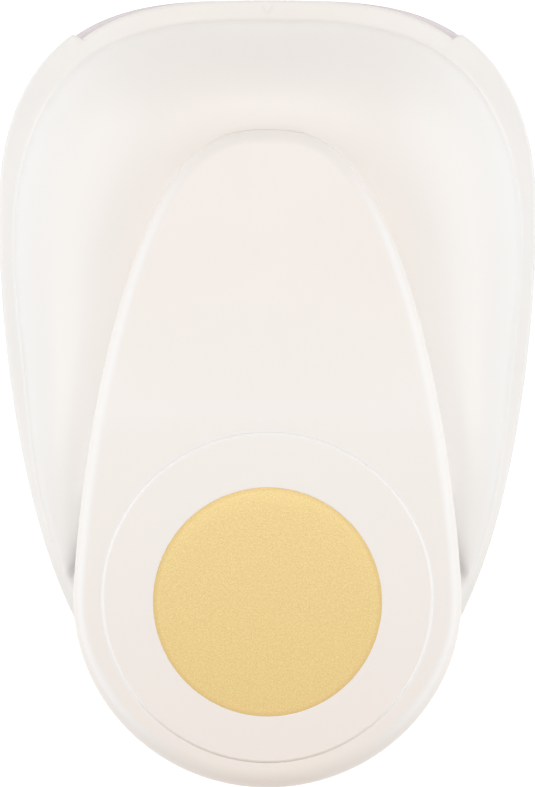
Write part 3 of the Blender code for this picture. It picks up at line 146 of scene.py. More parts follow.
def smoothShare(value, start, end):
    # 0 before start, 1 after end, 3t^2 - 2t^3 between
    t = np.clip((value - start) / (end - start), 0, 1)
    return t * t * (3 - 2 * t)


def pairs(radius, height):
    # radius and height of one profile point for every column, as an array of (radius, height)
    return np.stack(np.broadcast_arrays(radius, height), -1)


def circleRow(x, y, radius, z, columns):
    # x + radius * cos, y + radius * sin at one height, once round
    angle = np.linspace(0, 2 * math.pi, columns, endpoint=False)
    return np.stack([x + radius * np.cos(angle), y + radius * np.sin(angle), np.full(columns, z)], -1)


# Outlines seen from above: each half is |x / half width|^p + |(y - widest) / reach|^q = 1, and its
# powers are p and q
bodyOutline = {"halfWidth": 57.7, "widest": 36.8, "frontReach": 46.3, "rearReach": 109.8,
               "frontPowers": (3.35, 2.25), "rearPowers": (3.2, 1.8)}
leverOutline = {"halfWidth": 40.0, "widest": -44.1, "frontReach": 97.1, "rearReach": 39.0,
                "frontPowers": (2.7, 1.4), "rearPowers": (2.0, 2.0)}


def outlineRule(shape, front):
    # reach and the two powers of the front or the rear half, one value per point
    def pick(key, place=None):
        ahead, behind = shape["front" + key], shape["rear" + key]
        if place is not None:
            ahead, behind = ahead[place], behind[place]
        return np.where(front, ahead, behind)
    return pick("Reach"), pick("Powers", 0), pick("Powers", 1)


def outlineGauge(shape, x, y):
    # |x / half width|^p + |(y - widest) / reach|^q: under 1 inside, over 1 outside
    reach, across, along = outlineRule(shape, y >= shape["widest"])
    return np.abs(x / shape["halfWidth"]) ** across + np.abs((y - shape["widest"]) / reach) ** along


def reachAlong(shape, angle, centre, farthest=200.0, halvings=48):
    # distance from (0, centre) to the outline in each direction, by halving the interval
    near, far = np.zeros_like(angle), np.full_like(angle, farthest)
    for _ in range(halvings):
        middle = (near + far) / 2
        inside = outlineGauge(shape, middle * np.cos(angle), centre + middle * np.sin(angle)) < 1
        near, far = np.where(inside, middle, near), np.where(inside, far, middle)
    return near


def outlineNormal(shape, x, y):
    # the gauge's slope at a point of the outline, made one unit long
    reach, across, along = outlineRule(shape, y >= shape["widest"])
    flatX, flatY = np.abs(x / shape["halfWidth"]), np.abs((y - shape["widest"]) / reach)
    slope = np.stack([np.sign(x) * across * flatX ** (across - 1) / shape["halfWidth"],
                      np.sign(y - shape["widest"]) * along * flatY ** (along - 1) / reach], -1)
    return slope / np.linalg.norm(slope, axis=-1, keepdims=True)


def evenOutline(shape, count, samples=24001):
    # Outline points spaced evenly along its length, from the right-hand side round over the front:
    # x = half width * cos^(2/p), y = widest + reach * sin^(2/q), then resampled by arc length.
    angle = np.linspace(0, 2 * math.pi, samples)
    front = np.sin(angle) >= 0
    reach, across, along = outlineRule(shape, front)
    x = shape["halfWidth"] * np.sign(np.cos(angle)) * np.abs(np.cos(angle)) ** (2 / across)
    y = shape["widest"] + np.sign(np.sin(angle)) * reach * np.abs(np.sin(angle)) ** (2 / along)
    length = np.concatenate([[0], np.cumsum(np.hypot(np.diff(x), np.diff(y)))])
    even = np.linspace(0, length[-1], count, endpoint=False)
    x, y = np.interp(even, length, x), np.interp(even, length, y)
    return x, y, outlineNormal(shape, x, y)


# Helpers for materials

class Wire:
    # A node's output that can be used in sums; each operator adds one Math node.
    def __init__(self, tree, socket):
        self.tree, self.socket = tree, socket

    def sum(self, operation, first, second=None):
        # one Math node on a wire or a number, or on two of them
        step = self.tree.nodes.new("ShaderNodeMath")
        step.operation = operation
        feed(self.tree, step.inputs[0], first)
        if second is not None:
            feed(self.tree, step.inputs[1], second)
        return Wire(self.tree, step.outputs[0])

    def __add__(self, other): return self.sum("ADD", self, other)
    def __radd__(self, other): return self.sum("ADD", other, self)
    def __sub__(self, other): return self.sum("SUBTRACT", self, other)
    def __rsub__(self, other): return self.sum("SUBTRACT", other, self)
    def __mul__(self, other): return self.sum("MULTIPLY", self, other)
    def __rmul__(self, other): return self.sum("MULTIPLY", other, self)
    def __truediv__(self, other): return self.sum("DIVIDE", self, other)
    def __rtruediv__(self, other): return self.sum("DIVIDE", other, self)
    def __abs__(self): return self.sum("ABSOLUTE", self)


def feed(tree, socket, value):
    # links a wire to the socket, or sets the socket's own value; a colour gets its alpha of 1
    if isinstance(value, Wire):
        tree.links.new(value.socket, socket)
    elif socket.type == "RGBA":
        socket.default_value = (*value, 1)
    else:
        socket.default_value = value


class Graph:
    # One node tree, with the one way in which any node but Math is added.
    def __init__(self, tree):
        self.tree = tree

    def node(self, kind, settings=None, inputs=None, out=0):
        # settings come first, then the values or links of the sockets
        made = self.tree.nodes.new("ShaderNode" + kind)
        for key, value in (settings or {}).items():
            setattr(made, key, value)
        for key, value in (inputs or {}).items():
            feed(self.tree, made.inputs[key], value)
        return Wire(self.tree, made.outputs[out])

    def seen(self):
        # 1 for what the camera, mirrors and glass look at, 0 for the light that reaches the object
        total = (self.node("LightPath", out="Is Camera Ray") + self.node("LightPath", out="Is Glossy Ray")
                 + self.node("LightPath", out="Is Transmission Ray"))
        return total.sum("MINIMUM", total, 1.0)

    def show(self, shader, output):
        # the shader goes to the surface of the output node of that name
        self.tree.links.new(shader.socket, self.tree.nodes[output].inputs["Surface"])


class Finish(Graph):
    # One material and its main shader. constants are the values that are the same all over it.
    def __init__(self, name, constants=None):
        self.material = bpy.data.materials.new(name)
        self.material.use_nodes = True
        super().__init__(self.material.node_tree)
        self.shader = self.tree.nodes["Principled BSDF"]
        self.place = self.node("TexCoord", out="Object")
        for key, value in (constants or {}).items():
            feed(self.tree, self.shader.inputs[key], value)

    def along(self, axis):
        # the place on one axis, in millimetres
        return self.node("SeparateXYZ", None, {0: self.place}, out=axis) / mm

    def towardsTail(self, start, end):
        # 0 in front of start and 1 behind end, both places on y, of which end is the lower
        return self.stretch(self.along("Y") * -1, -start, -end)

    def fromAxis(self, centre):
        # distance in millimetres from the upright line through (0, centre)
        centred = self.stretched((1, 1, 0), (0, -centre * mm, 0))
        return self.node("VectorMath", {"operation": "LENGTH"}, {0: centred}, out="Value") / mm

    def rim(self):
        # the place's share of painted highlight, painted shade or painted light: what buildPiece was told
        return self.node("Attribute", {"attribute_name": "rim"}, out="Fac")

    def stretched(self, scale, shift=(0, 0, 0)):
        # the place times scale, plus shift, in metres
        return self.node("Mapping", None, {"Vector": self.place, "Scale": scale, "Location": shift})

    def noise(self, size, detail=2.0, rough=0.5, warp=0.0, vector=None):
        # size is the width of one blotch in millimetres
        return self.node("TexNoise", None, {"Vector": vector or self.place, "Scale": 1 / (size * mm),
                                            "Detail": detail, "Roughness": rough, "Distortion": warp})

    def stretch(self, value, low, high):
        # low becomes 0 and high becomes 1, clamped
        return self.node("MapRange", {"clamp": True}, {"Value": value, "From Min": low, "From Max": high})

    def mix(self, factor, first, second):
        # first * (1 - factor) + second * factor; a colour Mix has its factor on socket 0, its colours on 6, 7
        return self.node("Mix", {"data_type": "RGBA"}, {0: factor, 6: first, 7: second}, out=2)

    def bump(self, height, depth, onto=None):
        # depth is the height of the relief in millimetres where the value runs from 0 to 1
        inputs = {"Height": height, "Distance": depth * mm, "Strength": 1.0}
        if onto is not None:
            inputs["Normal"] = onto
        return self.node("Bump", None, inputs)

    def done(self, colour, roughness, normal):
        # the three that vary over a surface, onto the main shader
        for key, value in {"Base Color": colour, "Roughness": roughness, "Normal": normal}.items():
            feed(self.tree, self.shader.inputs[key], value)
        return self.material


# Plastics. Places are in millimetres on y, the flank sheen's on x; the waist's painted light is full at
# waistFull and fades both ways. Apart from colour and warm, the colours of a look are painted light and
# shade.
plasticLook = {
    "case": {"colour": (0.900, 0.862, 0.828), "warm": (0.893, 0.845, 0.800), "roughness": 0.345,
             "flank": (0.882, 0.876, 0.864), "flankFrom": 24, "flankTo": 54,
             "foot": (0.975, 0.966, 0.957)},
    "lever": {"colour": (0.898, 0.855, 0.818), "warm": (0.890, 0.838, 0.792), "roughness": 0.335,
              "tail": (0.898, 0.838, 0.782), "tailFrom": -48, "tailTo": -82,
              "waist": (0.930, 0.899, 0.868), "waistFrom": 26, "waistFull": -6, "waistTo": -72,
              "rim": (0.925, 0.918, 0.912),
              "ring": {"centre": -43.7, "radius": 34.0, "from": 0.2, "to": 0.65,
                       "fadeFrom": -62, "fadeTo": -76},
              "heel": (0.885, 0.795, 0.730), "heelFrom": -79.2, "heelTo": -82.6},
    "tray": {"colour": (0.905, 0.835, 0.852), "warm": (0.875, 0.795, 0.812), "roughness": 0.42,
             "rim": (0.650, 0.585, 0.610)},
}

# What the three share. A noise is its size, detail, roughness and warp; a span is what counts as 0 and 1.
moulding = {
    "specular": 0.45,
    "clouds": (34, 3, 0.55, 0.4), "cloudSpan": (0.32, 0.70), "cloudShare": 0.55, "cloudRough": 0.05,
    "specks": (0.55, 2, 0.6), "speckSpan": (0.62, 0.80), "speckShare": 0.12,
    "rubs": (11, 3, 0.6, 0.6), "rubSpan": (0.55, 0.80), "rubRough": 0.03,
    "mottle": (1.6, 2), "mottleRough": 0.05,
    "flankShare": 0.8, "tailShare": 0.8, "rimShare": 0.85, "heelShare": 0.75,
    "swell": (22, 2, 0.4), "swellDepth": 0.10,
    "fineGrain": (0.34, 2, 0.6), "fineShare": 0.7, "coarseGrain": (1.1, 2, 0.5), "coarseShare": 0.3,
    "grainDepth": 0.010,
}

centreMark = {"tip": 79.6, "rise": 1.3, "halfWidth": 1.1, "line": 0.15, "lineTo": 0.27, "endSoft": 0.12,
              "relief": 0.05}


def markHeight(made):
    # A shallow V on the brim over the cut's middle: 1 on its two strokes, 0 beside them. A stroke is
    # where the distance from y = tip + |x| * slope is under line.
    c = centreMark
    slope = c["rise"] / c["halfWidth"]
    x = abs(made.along("X"))
    away = abs(made.along("Y") - c["tip"] - x * slope) / math.hypot(1, slope)
    stroke = 1 - made.stretch(away, c["line"], c["lineTo"])
    return stroke * (1 - made.stretch(x, c["halfWidth"], c["halfWidth"] + c["endSoft"]))


def makePlastic(name, look):
    # Moulded plastic: cloudy flow colour, a fine spark-eroded grain and a few hairline rubs. Each
    # shade of a look is mixed over the colour so far, by its own mask from 0 to 1 times its share.
    m = moulding
    made = Finish(name, {"Specular IOR Level": m["specular"]})
    clouds = made.stretch(made.noise(*m["clouds"]), *m["cloudSpan"])
    specks = made.stretch(made.noise(*m["specks"]), *m["speckSpan"])
    rubs = made.stretch(made.noise(*m["rubs"]), *m["rubSpan"])
    colour = made.mix(clouds * m["cloudShare"] + specks * m["speckShare"], look["colour"], look["warm"])
    if "flank" in look:      # painted sheen: the outer flanks are painted a shade cooler, standing in for the side lamps' reflection on them
        side = made.stretch(abs(made.along("X")), look["flankFrom"], look["flankTo"])
        colour = made.mix(side * m["flankShare"], colour, look["flank"])
    if "foot" in look:       # painted light: the case is painted palest at the lever's foot, to cancel the shade the lever casts there
        colour = made.mix(made.rim(), colour, look["foot"])
    if "waist" in look:      # painted light: the slope up to the pad is painted palest
        risen = made.towardsTail(look["waistFrom"], look["waistFull"])
        faded = made.towardsTail(look["waistFull"], look["waistTo"])
        colour = made.mix(risen * (1 - faded), colour, look["waist"])
    if "tail" in look:       # painted shade: the palm's end is painted darker and warmer towards the tail
        tailShade = made.towardsTail(look["tailFrom"], look["tailTo"])
        colour = made.mix(tailShade * m["tailShare"], colour, look["tail"])
    if "rim" in look:        # painted highlight on the lever's shoulder, painted shade on the tray's lip
        colour = made.mix(made.rim() * m["rimShare"], colour, look["rim"])
    if "ring" in look:       # painted highlight on the step round the palm pad, faded out at its heel
        ring = look["ring"]
        away = abs(made.fromAxis(ring["centre"]) - ring["radius"])
        ringHighlight = 1 - made.stretch(away, ring["from"], ring["to"])
        faded = made.towardsTail(ring["fadeFrom"], ring["fadeTo"])
        colour = made.mix(ringHighlight * (1 - faded) * m["rimShare"], colour, look["rim"])
    if "heel" in look:       # painted shade: the lever's rear edge is painted darker and warmer
        heel = made.towardsTail(look["heelFrom"], look["heelTo"])
        colour = made.mix(heel * m["heelShare"], colour, look["heel"])
    roughness = (look["roughness"] + (clouds - 0.5) * m["cloudRough"]
                 + made.noise(*m["mottle"]) * m["mottleRough"] - rubs * m["rubRough"])
    grain = made.noise(*m["fineGrain"]) * m["fineShare"] + made.noise(*m["coarseGrain"]) * m["coarseShare"]
    relief = made.bump(made.noise(*m["swell"]), m["swellDepth"])
    if "flank" in look:      # of the three only the case has flanks, and it carries the mark
        relief = made.bump(markHeight(made), centreMark["relief"], relief)
    return made.done(colour, roughness, made.bump(grain, m["grainDepth"], relief))


casePlastic = makePlastic("casePlastic", plasticLook["case"])
leverPlastic = makePlastic("leverPlastic", plasticLook["lever"])
trayPlastic = makePlastic("trayPlastic", plasticLook["tray"])

# Gold foil. The spans are of the shade's sum, of distance from the disc's axis (rim) and of y (painted front
# light).
foilLook = {
    "light": (0.796, 0.640, 0.328), "dark": (0.608, 0.460, 0.196), "roughness": 0.42,
    "fine": (0.29, 2, 0.7), "coarse": (0.8, 2, 0.6), "drift": (-68, -21),
    "fineShare": 2.4, "coarseShare": 0.2, "driftShare": 0.34, "shadeSpan": (0.93, 2.165), "fineRough": 0.25,
    "centre": -44.6, "rimSpan": (22.5, 23.35), "rim": (0.52, 0.36, 0.15), "rimShare": 0.45, "rimRough": 0.06,
    "fineRelief": 0.7, "coarseRelief": 0.3, "depth": 0.04,
}


def makeFoil():
    # Hot-stamped satin foil: granular all over, a shade darker and rougher in a band just inside the disc's
    # edge.
    # The shade is a weighted sum of two noises and a painted reflection along y, lighter towards the front,
    # cut to its span.
    look = foilLook
    made = Finish("goldFoil", {"Metallic": 1.0})
    fine = made.noise(*look["fine"])
    coarse = made.noise(*look["coarse"])
    drift = made.stretch(made.along("Y"), *look["drift"])
    shade = fine * look["fineShare"] + coarse * look["coarseShare"] + drift * look["driftShare"]
    face = made.mix(made.stretch(shade, *look["shadeSpan"]), look["dark"], look["light"])
    edge = made.stretch(made.fromAxis(look["centre"]), *look["rimSpan"])
    colour = made.mix(edge * look["rimShare"], face, look["rim"])
    roughness = look["roughness"] + (fine - 0.5) * look["fineRough"] + edge * look["rimRough"]
    grain = fine * look["fineRelief"] + coarse * look["coarseRelief"]
    return made.done(colour, roughness, made.bump(grain, look["depth"]))


goldFoil = makeFoil()

# Metals. grain says how much closer the marks lie on each axis.
metalLook = {
    "plateSteel": {"light": (0.62, 0.63, 0.64), "dark": (0.45, 0.455, 0.465), "roughness": 0.34,
                   "grain": (1, 40, 40), "size": 6.0, "depth": 0.006},
    "toolSteel": {"light": (0.50, 0.51, 0.525), "dark": (0.34, 0.345, 0.36), "roughness": 0.22,
                  "grain": (3, 3, 70), "size": 5.0, "depth": 0.004},
    "screwSteel": {"light": (0.68, 0.68, 0.66), "dark": (0.50, 0.50, 0.47), "roughness": 0.30,
                   "grain": (6, 6, 18), "size": 3.0, "depth": 0.005},
    "springSteel": {"light": (0.36, 0.37, 0.39), "dark": (0.20, 0.205, 0.22), "roughness": 0.28,
                    "grain": (9, 9, 9), "size": 2.5, "depth": 0.004},
    "bushBronze": {"light": (0.60, 0.41, 0.20), "dark": (0.40, 0.255, 0.11), "roughness": 0.38,
                   "grain": (1, 1, 1), "size": 0.5, "depth": 0.020},
}

toolMarks = {
    "marks": (4, 0.65), "markSpan": (0.3, 0.7), "markShare": 0.6, "markRough": 0.20,
    "blotch": (7, 3, 0.55, 0.6), "blotchSpan": (0.40, 0.68), "blotchShare": 0.4, "blotchRough": 0.08,
}


def makeMetal(name):
    # Worked metal: noise drawn out along the tool marks, darker blotches where oil stands
    look, m = metalLook[name], toolMarks
    made = Finish(name, {"Metallic": 1.0})
    marks = made.noise(look["size"], *m["marks"], vector=made.stretched(look["grain"]))
    blotch = made.stretch(made.noise(*m["blotch"]), *m["blotchSpan"])
    dull = made.stretch(marks, *m["markSpan"]) * m["markShare"] + blotch * m["blotchShare"]
    roughness = look["roughness"] + (marks - 0.5) * m["markRough"] + blotch * m["blotchRough"]
    return made.done(made.mix(dull, look["light"], look["dark"]), roughness, made.bump(marks, look["depth"]))


metals = {name: makeMetal(name) for name in metalLook}
print("finishes ready")

# Upper case. Spans are (from, to) on y, and the span of the painted light at the lever's foot is of the
# crest's height.
# Each goal of the brim is its width and the degrees round from the front between which it is reached.
caseSizes = {
    "centre": 10.0, "leverGap": 0.8, "leastRing": 5.0, "blend": 0.8, "columns": 480,
    "brim": 5.2, "brimGoals": ((6.3, 4, 30), (3.6, 40, 75), (2.2, 95, 130)), "brimMost": 0.45,
    "leastBrim": 0.5,
    "footZ": 8.8, "footRound": 0.25, "rimZ": 13.9, "rimRound": 0.9, "shoulderZ": 14.9, "deckZ": 13.1,
    "valley": 0.85, "valleyReach": 1.3, "valleyMost": 0.42, "valleySteps": 9,
    "crestLow": 16.0, "crestRise": 32.5, "crestFrom": -38.5, "crestTo": 53.0, "crestPower": 0.66,
    "tipDrop": 1.15, "tipSpan": (43.0, 53.0), "tailTilt": 28, "tailSpan": (-28, -4),
    "domeSteps": 30, "domeSpacing": 0.9,
    "lipGapFront": 0.0, "lipGapRear": 0.06, "lipEase": (-20, -8), "lipReach": 0.4, "lipSlope": 0.8,
    "lipEdge": 1.5, "lipEdgeRound": 0.16, "lipStep": 0.1, "leastLip": 0.2,
    "lipRound": 1.0, "lipDepth": 4.0, "lipWall": 1.4,
    "wall": 2.2, "leastHollow": 0.4, "hollowTurns": (80, 50, 20, 0),
    "mouthHalfWidth": 41.3, "mouthZ": 12.0, "notch": 0.8, "notchClear": 1.8,
    "recessSide": 2.0, "recessMiddle": 0.5, "footReach": 7.0, "footCrest": (26, 44),
    "cheekInner": 35.4, "cheekOuter": 36.7, "cheekY": (-35.8, -12.0), "cheekTop": (29.4, 31.0),
    "cheekRound": 0.4, "cheekEase": 0.12, "cheekRows": 5,
}


def crestHeight(y):
    # low + rise * t^power, with t running from the tail to the tip of the lever, where it dips a little
    c = caseSizes
    t = np.clip((y - c["crestFrom"]) / (c["crestTo"] - c["crestFrom"]), 0, 1)
    drop = c["tipDrop"] * smoothShare(y, *c["tipSpan"])
    return c["crestLow"] + c["crestRise"] * t ** c["crestPower"] - drop


def makeCheeks():
    # Two upright walls that close the sides of the tail's opening: a rounded bar section, stood on
    # the deck's line and carried along y, with its top rising in a straight line.
    c = caseSizes
    low, inner, outer = c["deckZ"], c["cheekInner"], c["cheekOuter"]
    big, small = c["cheekRound"], c["cheekEase"]
    rows = []
    for y, top in zip(np.linspace(*c["cheekY"], c["cheekRows"]), np.linspace(*c["cheekTop"], c["cheekRows"])):
        section = [(inner, low), (outer, low), (outer, top - big), (outer - small, top - small),
                   (outer - big, top), (inner + big, top), (inner + small, top - small), (inner, top - big)]
        rows.append([(x, y, z) for x, z in section])
    rows = np.array(rows)
    return [skin(np.flip(rows, 1)), skin(rows * [-1, 1, 1])]


def caseAngles():
    # Even directions round the case, closer together at the mouth's two corners, where a pair of
    # them makes each notch. Also gives the right-hand corner's direction.
    c, outline = caseSizes, bodyOutline
    share = 1 - (c["mouthHalfWidth"] / outline["halfWidth"]) ** outline["frontPowers"][0]
    cornerY = outline["widest"] + outline["frontReach"] * share ** (1 / outline["frontPowers"][1])
    corner = math.atan2(cornerY - c["centre"], c["mouthHalfWidth"])
    half = c["notch"] / outline["halfWidth"] / 2
    angle = np.linspace(-math.pi, math.pi, c["columns"], endpoint=False)
    for middle in (corner, math.pi - corner):
        angle = angle[np.abs(angle - middle) > half * c["notchClear"]]
        angle = np.concatenate([angle, [middle - half, middle + half]])
    return np.sort(angle), corner


def makeCase():
    # A ring worked out in polar columns round (0, centre). Every column's profile runs up the rim,
    # over the brim, through the valley and up a quarter ellipse to the crest, then down inside.
    c = caseSizes
    angle, corner = caseAngles()
    outer = reachAlong(bodyOutline, angle, c["centre"])
    leverEdge = reachAlong(leverOutline, angle, c["centre"]) + c["leverGap"]
    ringEdge = outer - c["leastRing"]
    inner = (leverEdge + ringEdge - np.hypot(leverEdge - ringEdge, c["blend"])) / 2
    crestY = c["centre"] + inner * np.sin(angle)
    top = crestHeight(crestY)
    turn = np.degrees(np.arccos(np.clip(np.sin(angle), -1, 1)))
    brim = np.full_like(angle, c["brim"])
    for goal, start, end in c["brimGoals"]:
        brim = brim + (goal - brim) * smoothShare(turn, start, end)
    brim = np.minimum(brim, (outer - inner) * c["brimMost"])

    inMouth = (np.abs(np.cos(angle)) < math.cos(corner)) & (np.sin(angle) > 0)
    sideShare = (np.cos(angle) * outer / c["mouthHalfWidth"]) ** 2
    recess = c["recessMiddle"] + (c["recessSide"] - c["recessMiddle"]) * sideShare
    rim = outer - np.where(inMouth, recess, 0)
    foot = np.where(inMouth, c["mouthZ"], c["footZ"])
    shoulder = outer - brim
    crest = inner + c["lipRound"]

    height = top - c["shoulderZ"]
    span = shoulder - crest
    rise = np.arcsin(np.clip(c["valley"] / height, 0, c["valleyMost"]))    # where the valley meets the dome
    lastTurn = np.radians(90 - c["tailTilt"] * (1 - smoothShare(crestY, *c["tailSpan"])))
    spacing = np.linspace(0, 1, c["domeSteps"])[:, None] ** c["domeSpacing"]
    domeTurn = rise + (lastTurn - rise) * spacing
    dome = pairs(crest + span * (np.cos(domeTurn) - np.cos(lastTurn)) / (1 - np.cos(lastTurn)),
                 c["shoulderZ"] + height * np.sin(domeTurn))
    top = c["shoulderZ"] + height * np.sin(lastTurn)
    valley = pairs(crest + span / np.cos(rise), c["shoulderZ"])
    valleyStart = np.minimum(shoulder + c["valley"] * c["valleyReach"], (shoulder + rim) / 2)
    slope = (c["shoulderZ"] - c["rimZ"]) / np.maximum(rim - shoulder, c["leastBrim"])
    onBrim = pairs(valleyStart, c["shoulderZ"] - slope * (valleyStart - shoulder))
    t = np.linspace(0, 1, c["valleySteps"])[:-1, None, None]
    valleyRows = onBrim * (1 - t) ** 2 + valley * 2 * t * (1 - t) + dome[0] * t ** 2

    # the lip is a thin bead along the lever's edge, and goes on rising as the dome does
    lipGap = c["lipGapRear"] + (c["lipGapFront"] - c["lipGapRear"]) * smoothShare(crestY, *c["lipEase"])
    lip = inner - (c["leverGap"] - lipGap) * (inner < leverEdge + c["lipReach"])
    lift = (dome[-1, :, 1] - dome[-2, :, 1]) / (dome[-2, :, 0] - dome[-1, :, 0])
    lipCorner = pairs(lip, top + np.clip(lift, 0, c["lipSlope"]) * (crest - lip))
    lipZ = np.maximum(top - c["lipDepth"], c["deckZ"])
    lipUnder = np.maximum(top - c["lipEdge"], lipZ + c["leastLip"])
    lipFoot = pairs(lip, lipUnder)
    wall = inner + c["lipWall"]
    footInner = rim - c["wall"]
    hollow = np.maximum(shoulder - c["wall"], wall + c["leastHollow"])
    hollowTurn = np.radians(c["hollowTurns"])[:, None]
    lowOuter, rimCorner = pairs(rim, foot), pairs(rim, c["rimZ"])
    profile = [softCorner(pairs(footInner, foot), lowOuter, rimCorner, c["footRound"], steps=3),
               softCorner(lowOuter, rimCorner, onBrim, c["rimRound"], steps=7),
               valleyRows, dome,
               softCorner(dome[-1], lipCorner, lipFoot, c["lipEdgeRound"], steps=5),
               [lipFoot, pairs(inner, lipUnder - c["lipStep"]), pairs(inner, lipZ), pairs(wall, lipZ)],
               pairs(wall + (hollow - wall) * np.cos(hollowTurn),
                     c["deckZ"] + (top - c["wall"] - c["deckZ"]) * np.sin(hollowTurn)),
               [pairs(footInner, c["deckZ"]), pairs(footInner, foot)]]
    profile = np.concatenate([np.asarray(part) for part in profile])
    radius, z = profile[..., 0], profile[..., 1]
    rows = np.stack([radius * np.cos(angle), c["centre"] + radius * np.sin(angle), z], -1)
    # painted light: the case is paler by (1 - d / reach)^2 at d mm from the opening, to lift the lever's
    # shade, and this dies out where the crest is high
    near = (1 - np.clip((radius - inner) / c["footReach"], 0, 1)) ** 2
    near = near * (1 - smoothShare(top, *c["footCrest"]))
    return buildPiece("upperCase", [skin(rows, ring=True), *makeCheeks()], casePlastic, "frame", rim=near)


upperCase = makeCase()
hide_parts("housing_shell")
print("upper case made:", len(upperCase.data.polygons), "faces")

# Tray
traySizes = {
    "centre": 17.0, "wall": 2.2, "lowTop": 7.2, "highTop": 8.5, "stepY": -23.0, "columns": 420,
    "floorZ": 2.0, "floorEase": 0.6, "chamfer": 0.8, "chamferRound": (0.25, 0.3), "underRing": 0.5,
    "exitRadius": 41.4, "exitChamfer": 0.4, "exitRing": 0.9, "ribWidth": 3.0, "ribZ": 3.0, "soft": 0.2,
    # inset, drop and painted shade of the lip's edge
    "lipEdge": ((0, 1.9, 0), (0, 1.6, 0.8), (0.06, 0.9, 1), (0.16, 0.4, 1), (0.34, 0.08, 0.55), (0.5, 0, 0)),
    "headHole": 2.5, "headDepth": 2.2, "boss": 4.8, "hub": 0.4, "screwColumns": 40,
}


def makeTray():
    # Polar columns round the cut's centre. The outer skin runs from the underside over the foot's
    # chamfer, up the wall and down inside it; the inner one over the rib and down the exit hole. Flat
    # sheets join the two, with a sunk hole under each screw and a boss over it.
    c = traySizes
    soft = c["soft"]
    angle = np.linspace(-math.pi, math.pi, c["columns"], endpoint=False)
    reach = reachAlong(bodyOutline, angle, c["centre"])
    x, y = reach * np.cos(angle), c["centre"] + reach * np.sin(angle)
    normal = outlineNormal(bodyOutline, x, y)
    top = np.where(y >= c["stepY"], c["lowTop"], c["highTop"])

    def edge(inset, z):
        return np.stack(np.broadcast_arrays(x - inset * normal[:, 0], y - inset * normal[:, 1], z), -1)

    def circle(radius, z):
        across, along = radius * np.cos(angle), c["centre"] + radius * np.sin(angle)
        return np.stack(np.broadcast_arrays(across, along, z), -1)

    lower = [edge(c["chamfer"] + c["underRing"], 0), edge(c["chamfer"], 0), edge(*c["chamferRound"]),
             edge(0, c["chamfer"])]
    lip = [edge(inset, top - drop) for inset, drop, shade in c["lipEdge"]]
    outer = [*lower, *lip, edge(c["wall"] - soft, top), edge(c["wall"], top - soft),
             edge(c["wall"], c["floorZ"] + c["floorEase"]), edge(c["wall"] + c["floorEase"], c["floorZ"])]
    exitRadius = c["exitRadius"]
    rib, exitRing = exitRadius + c["ribWidth"], exitRadius + c["exitRing"]
    inner = [circle(rib, c["floorZ"]), circle(rib, c["ribZ"] - soft), circle(rib - soft, c["ribZ"]),
             circle(exitRadius + soft, c["ribZ"]), circle(exitRadius, c["ribZ"] - soft),
             circle(exitRadius, c["exitChamfer"]), circle(exitRadius + c["exitChamfer"], 0),
             circle(exitRing, 0)]
    screws = [name for name in nodes if name.startswith("tray_screw_")]
    places = [(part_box(name)[0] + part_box(name)[1]) / 2 / mm for name in screws]

    def spots(radius, z):
        return [circleRow(place[0], place[1], radius, z, c["screwColumns"]) for place in places]

    def without(middleRadius, radius):
        return [(0, c["centre"], middleRadius)] + [(place[0], place[1], radius) for place in places]

    parts = [skin(outer, ends=()), skin(inner, ends=()),
             flatSheet([outer[0], inner[-1], *spots(c["headHole"], 0)], without(exitRing, c["headHole"])),
             flatSheet([outer[-1], inner[0], *spots(c["boss"], c["floorZ"])], without(rib, c["boss"]))]
    sunk = [spots(c["headHole"], 0), spots(c["headHole"], c["headDepth"]), spots(c["hub"], c["headDepth"])]
    bosses = [spots(c["boss"], c["floorZ"]), spots(c["boss"], c["ribZ"] - soft),
              spots(c["boss"] - soft, c["ribZ"]), spots(c["hub"], c["ribZ"])]
    parts += [skin(rows, ends=("last",)) for rows in [*zip(*sunk), *zip(*bosses)]]
    rim = np.zeros(len(outer))
    rim[len(lower):len(lower) + len(lip)] = [shade for inset, drop, shade in c["lipEdge"]]
    return buildPiece("lowerTray", parts, trayPlastic, "frame", True, np.repeat(rim, c["columns"]))


lowerTray = makeTray()
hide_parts("base_tray")
print("tray made")

# Lever cover. The painted highlight's turn and width are degrees over its rounded edge.
coverSizes = {
    "tipZ": 50.5, "padZ": 59.71, "tipY": 53.0, "levelY": -9.7, "risePower": 1.6,
    "crown": 0.9, "crownRun": 18.7, "round": 3.2, "tailRound": 5.0, "wall": 2.2,
    "pivotY": 62.0, "swing": 8.2, "skirtZ": 16.5, "skirtRound": 0.25,
    "skirtDip": 3.0, "dipFrom": (-38.0, -27.0), "dipTo": (-20.0, -12.0),
    "skirtOver": 30.0, "overSpan": (-12.0, 4.0), "tipSkirt": 43.5, "tipSpan": (36.0, 45.0),
    "seatCentre": -43.7, "seatRadius": 34.0, "seatZ": 57.4, "seatRound": 0.04, "hub": 1.0,
    "roofZ": 55.2, "roofBlend": 12.0, "roofShares": (0.04, 0.3, 0.6, 0.85, 1.0),
    "rubTurn": 57, "rubWidth": 16, "rubTip": (30, 50), "rubTail": (68, 81),
    "columns": 480, "roundSteps": 15, "topSteps": 26,
}


def coverTop(x, y):
    # tip + (pad - tip) * (1 - (1 - t)^power), less crown * (x / half width)^2 in front of the pad
    c = coverSizes
    t = np.clip((c["tipY"] - y) / (c["tipY"] - c["levelY"]), 0, 1)
    crown = c["crown"] * (x / leverOutline["halfWidth"]) ** 2
    crown = crown * smoothShare(y, c["levelY"], c["levelY"] + c["crownRun"])
    return c["tipZ"] + (c["padZ"] - c["tipZ"]) * (1 - (1 - t) ** c["risePower"]) - crown


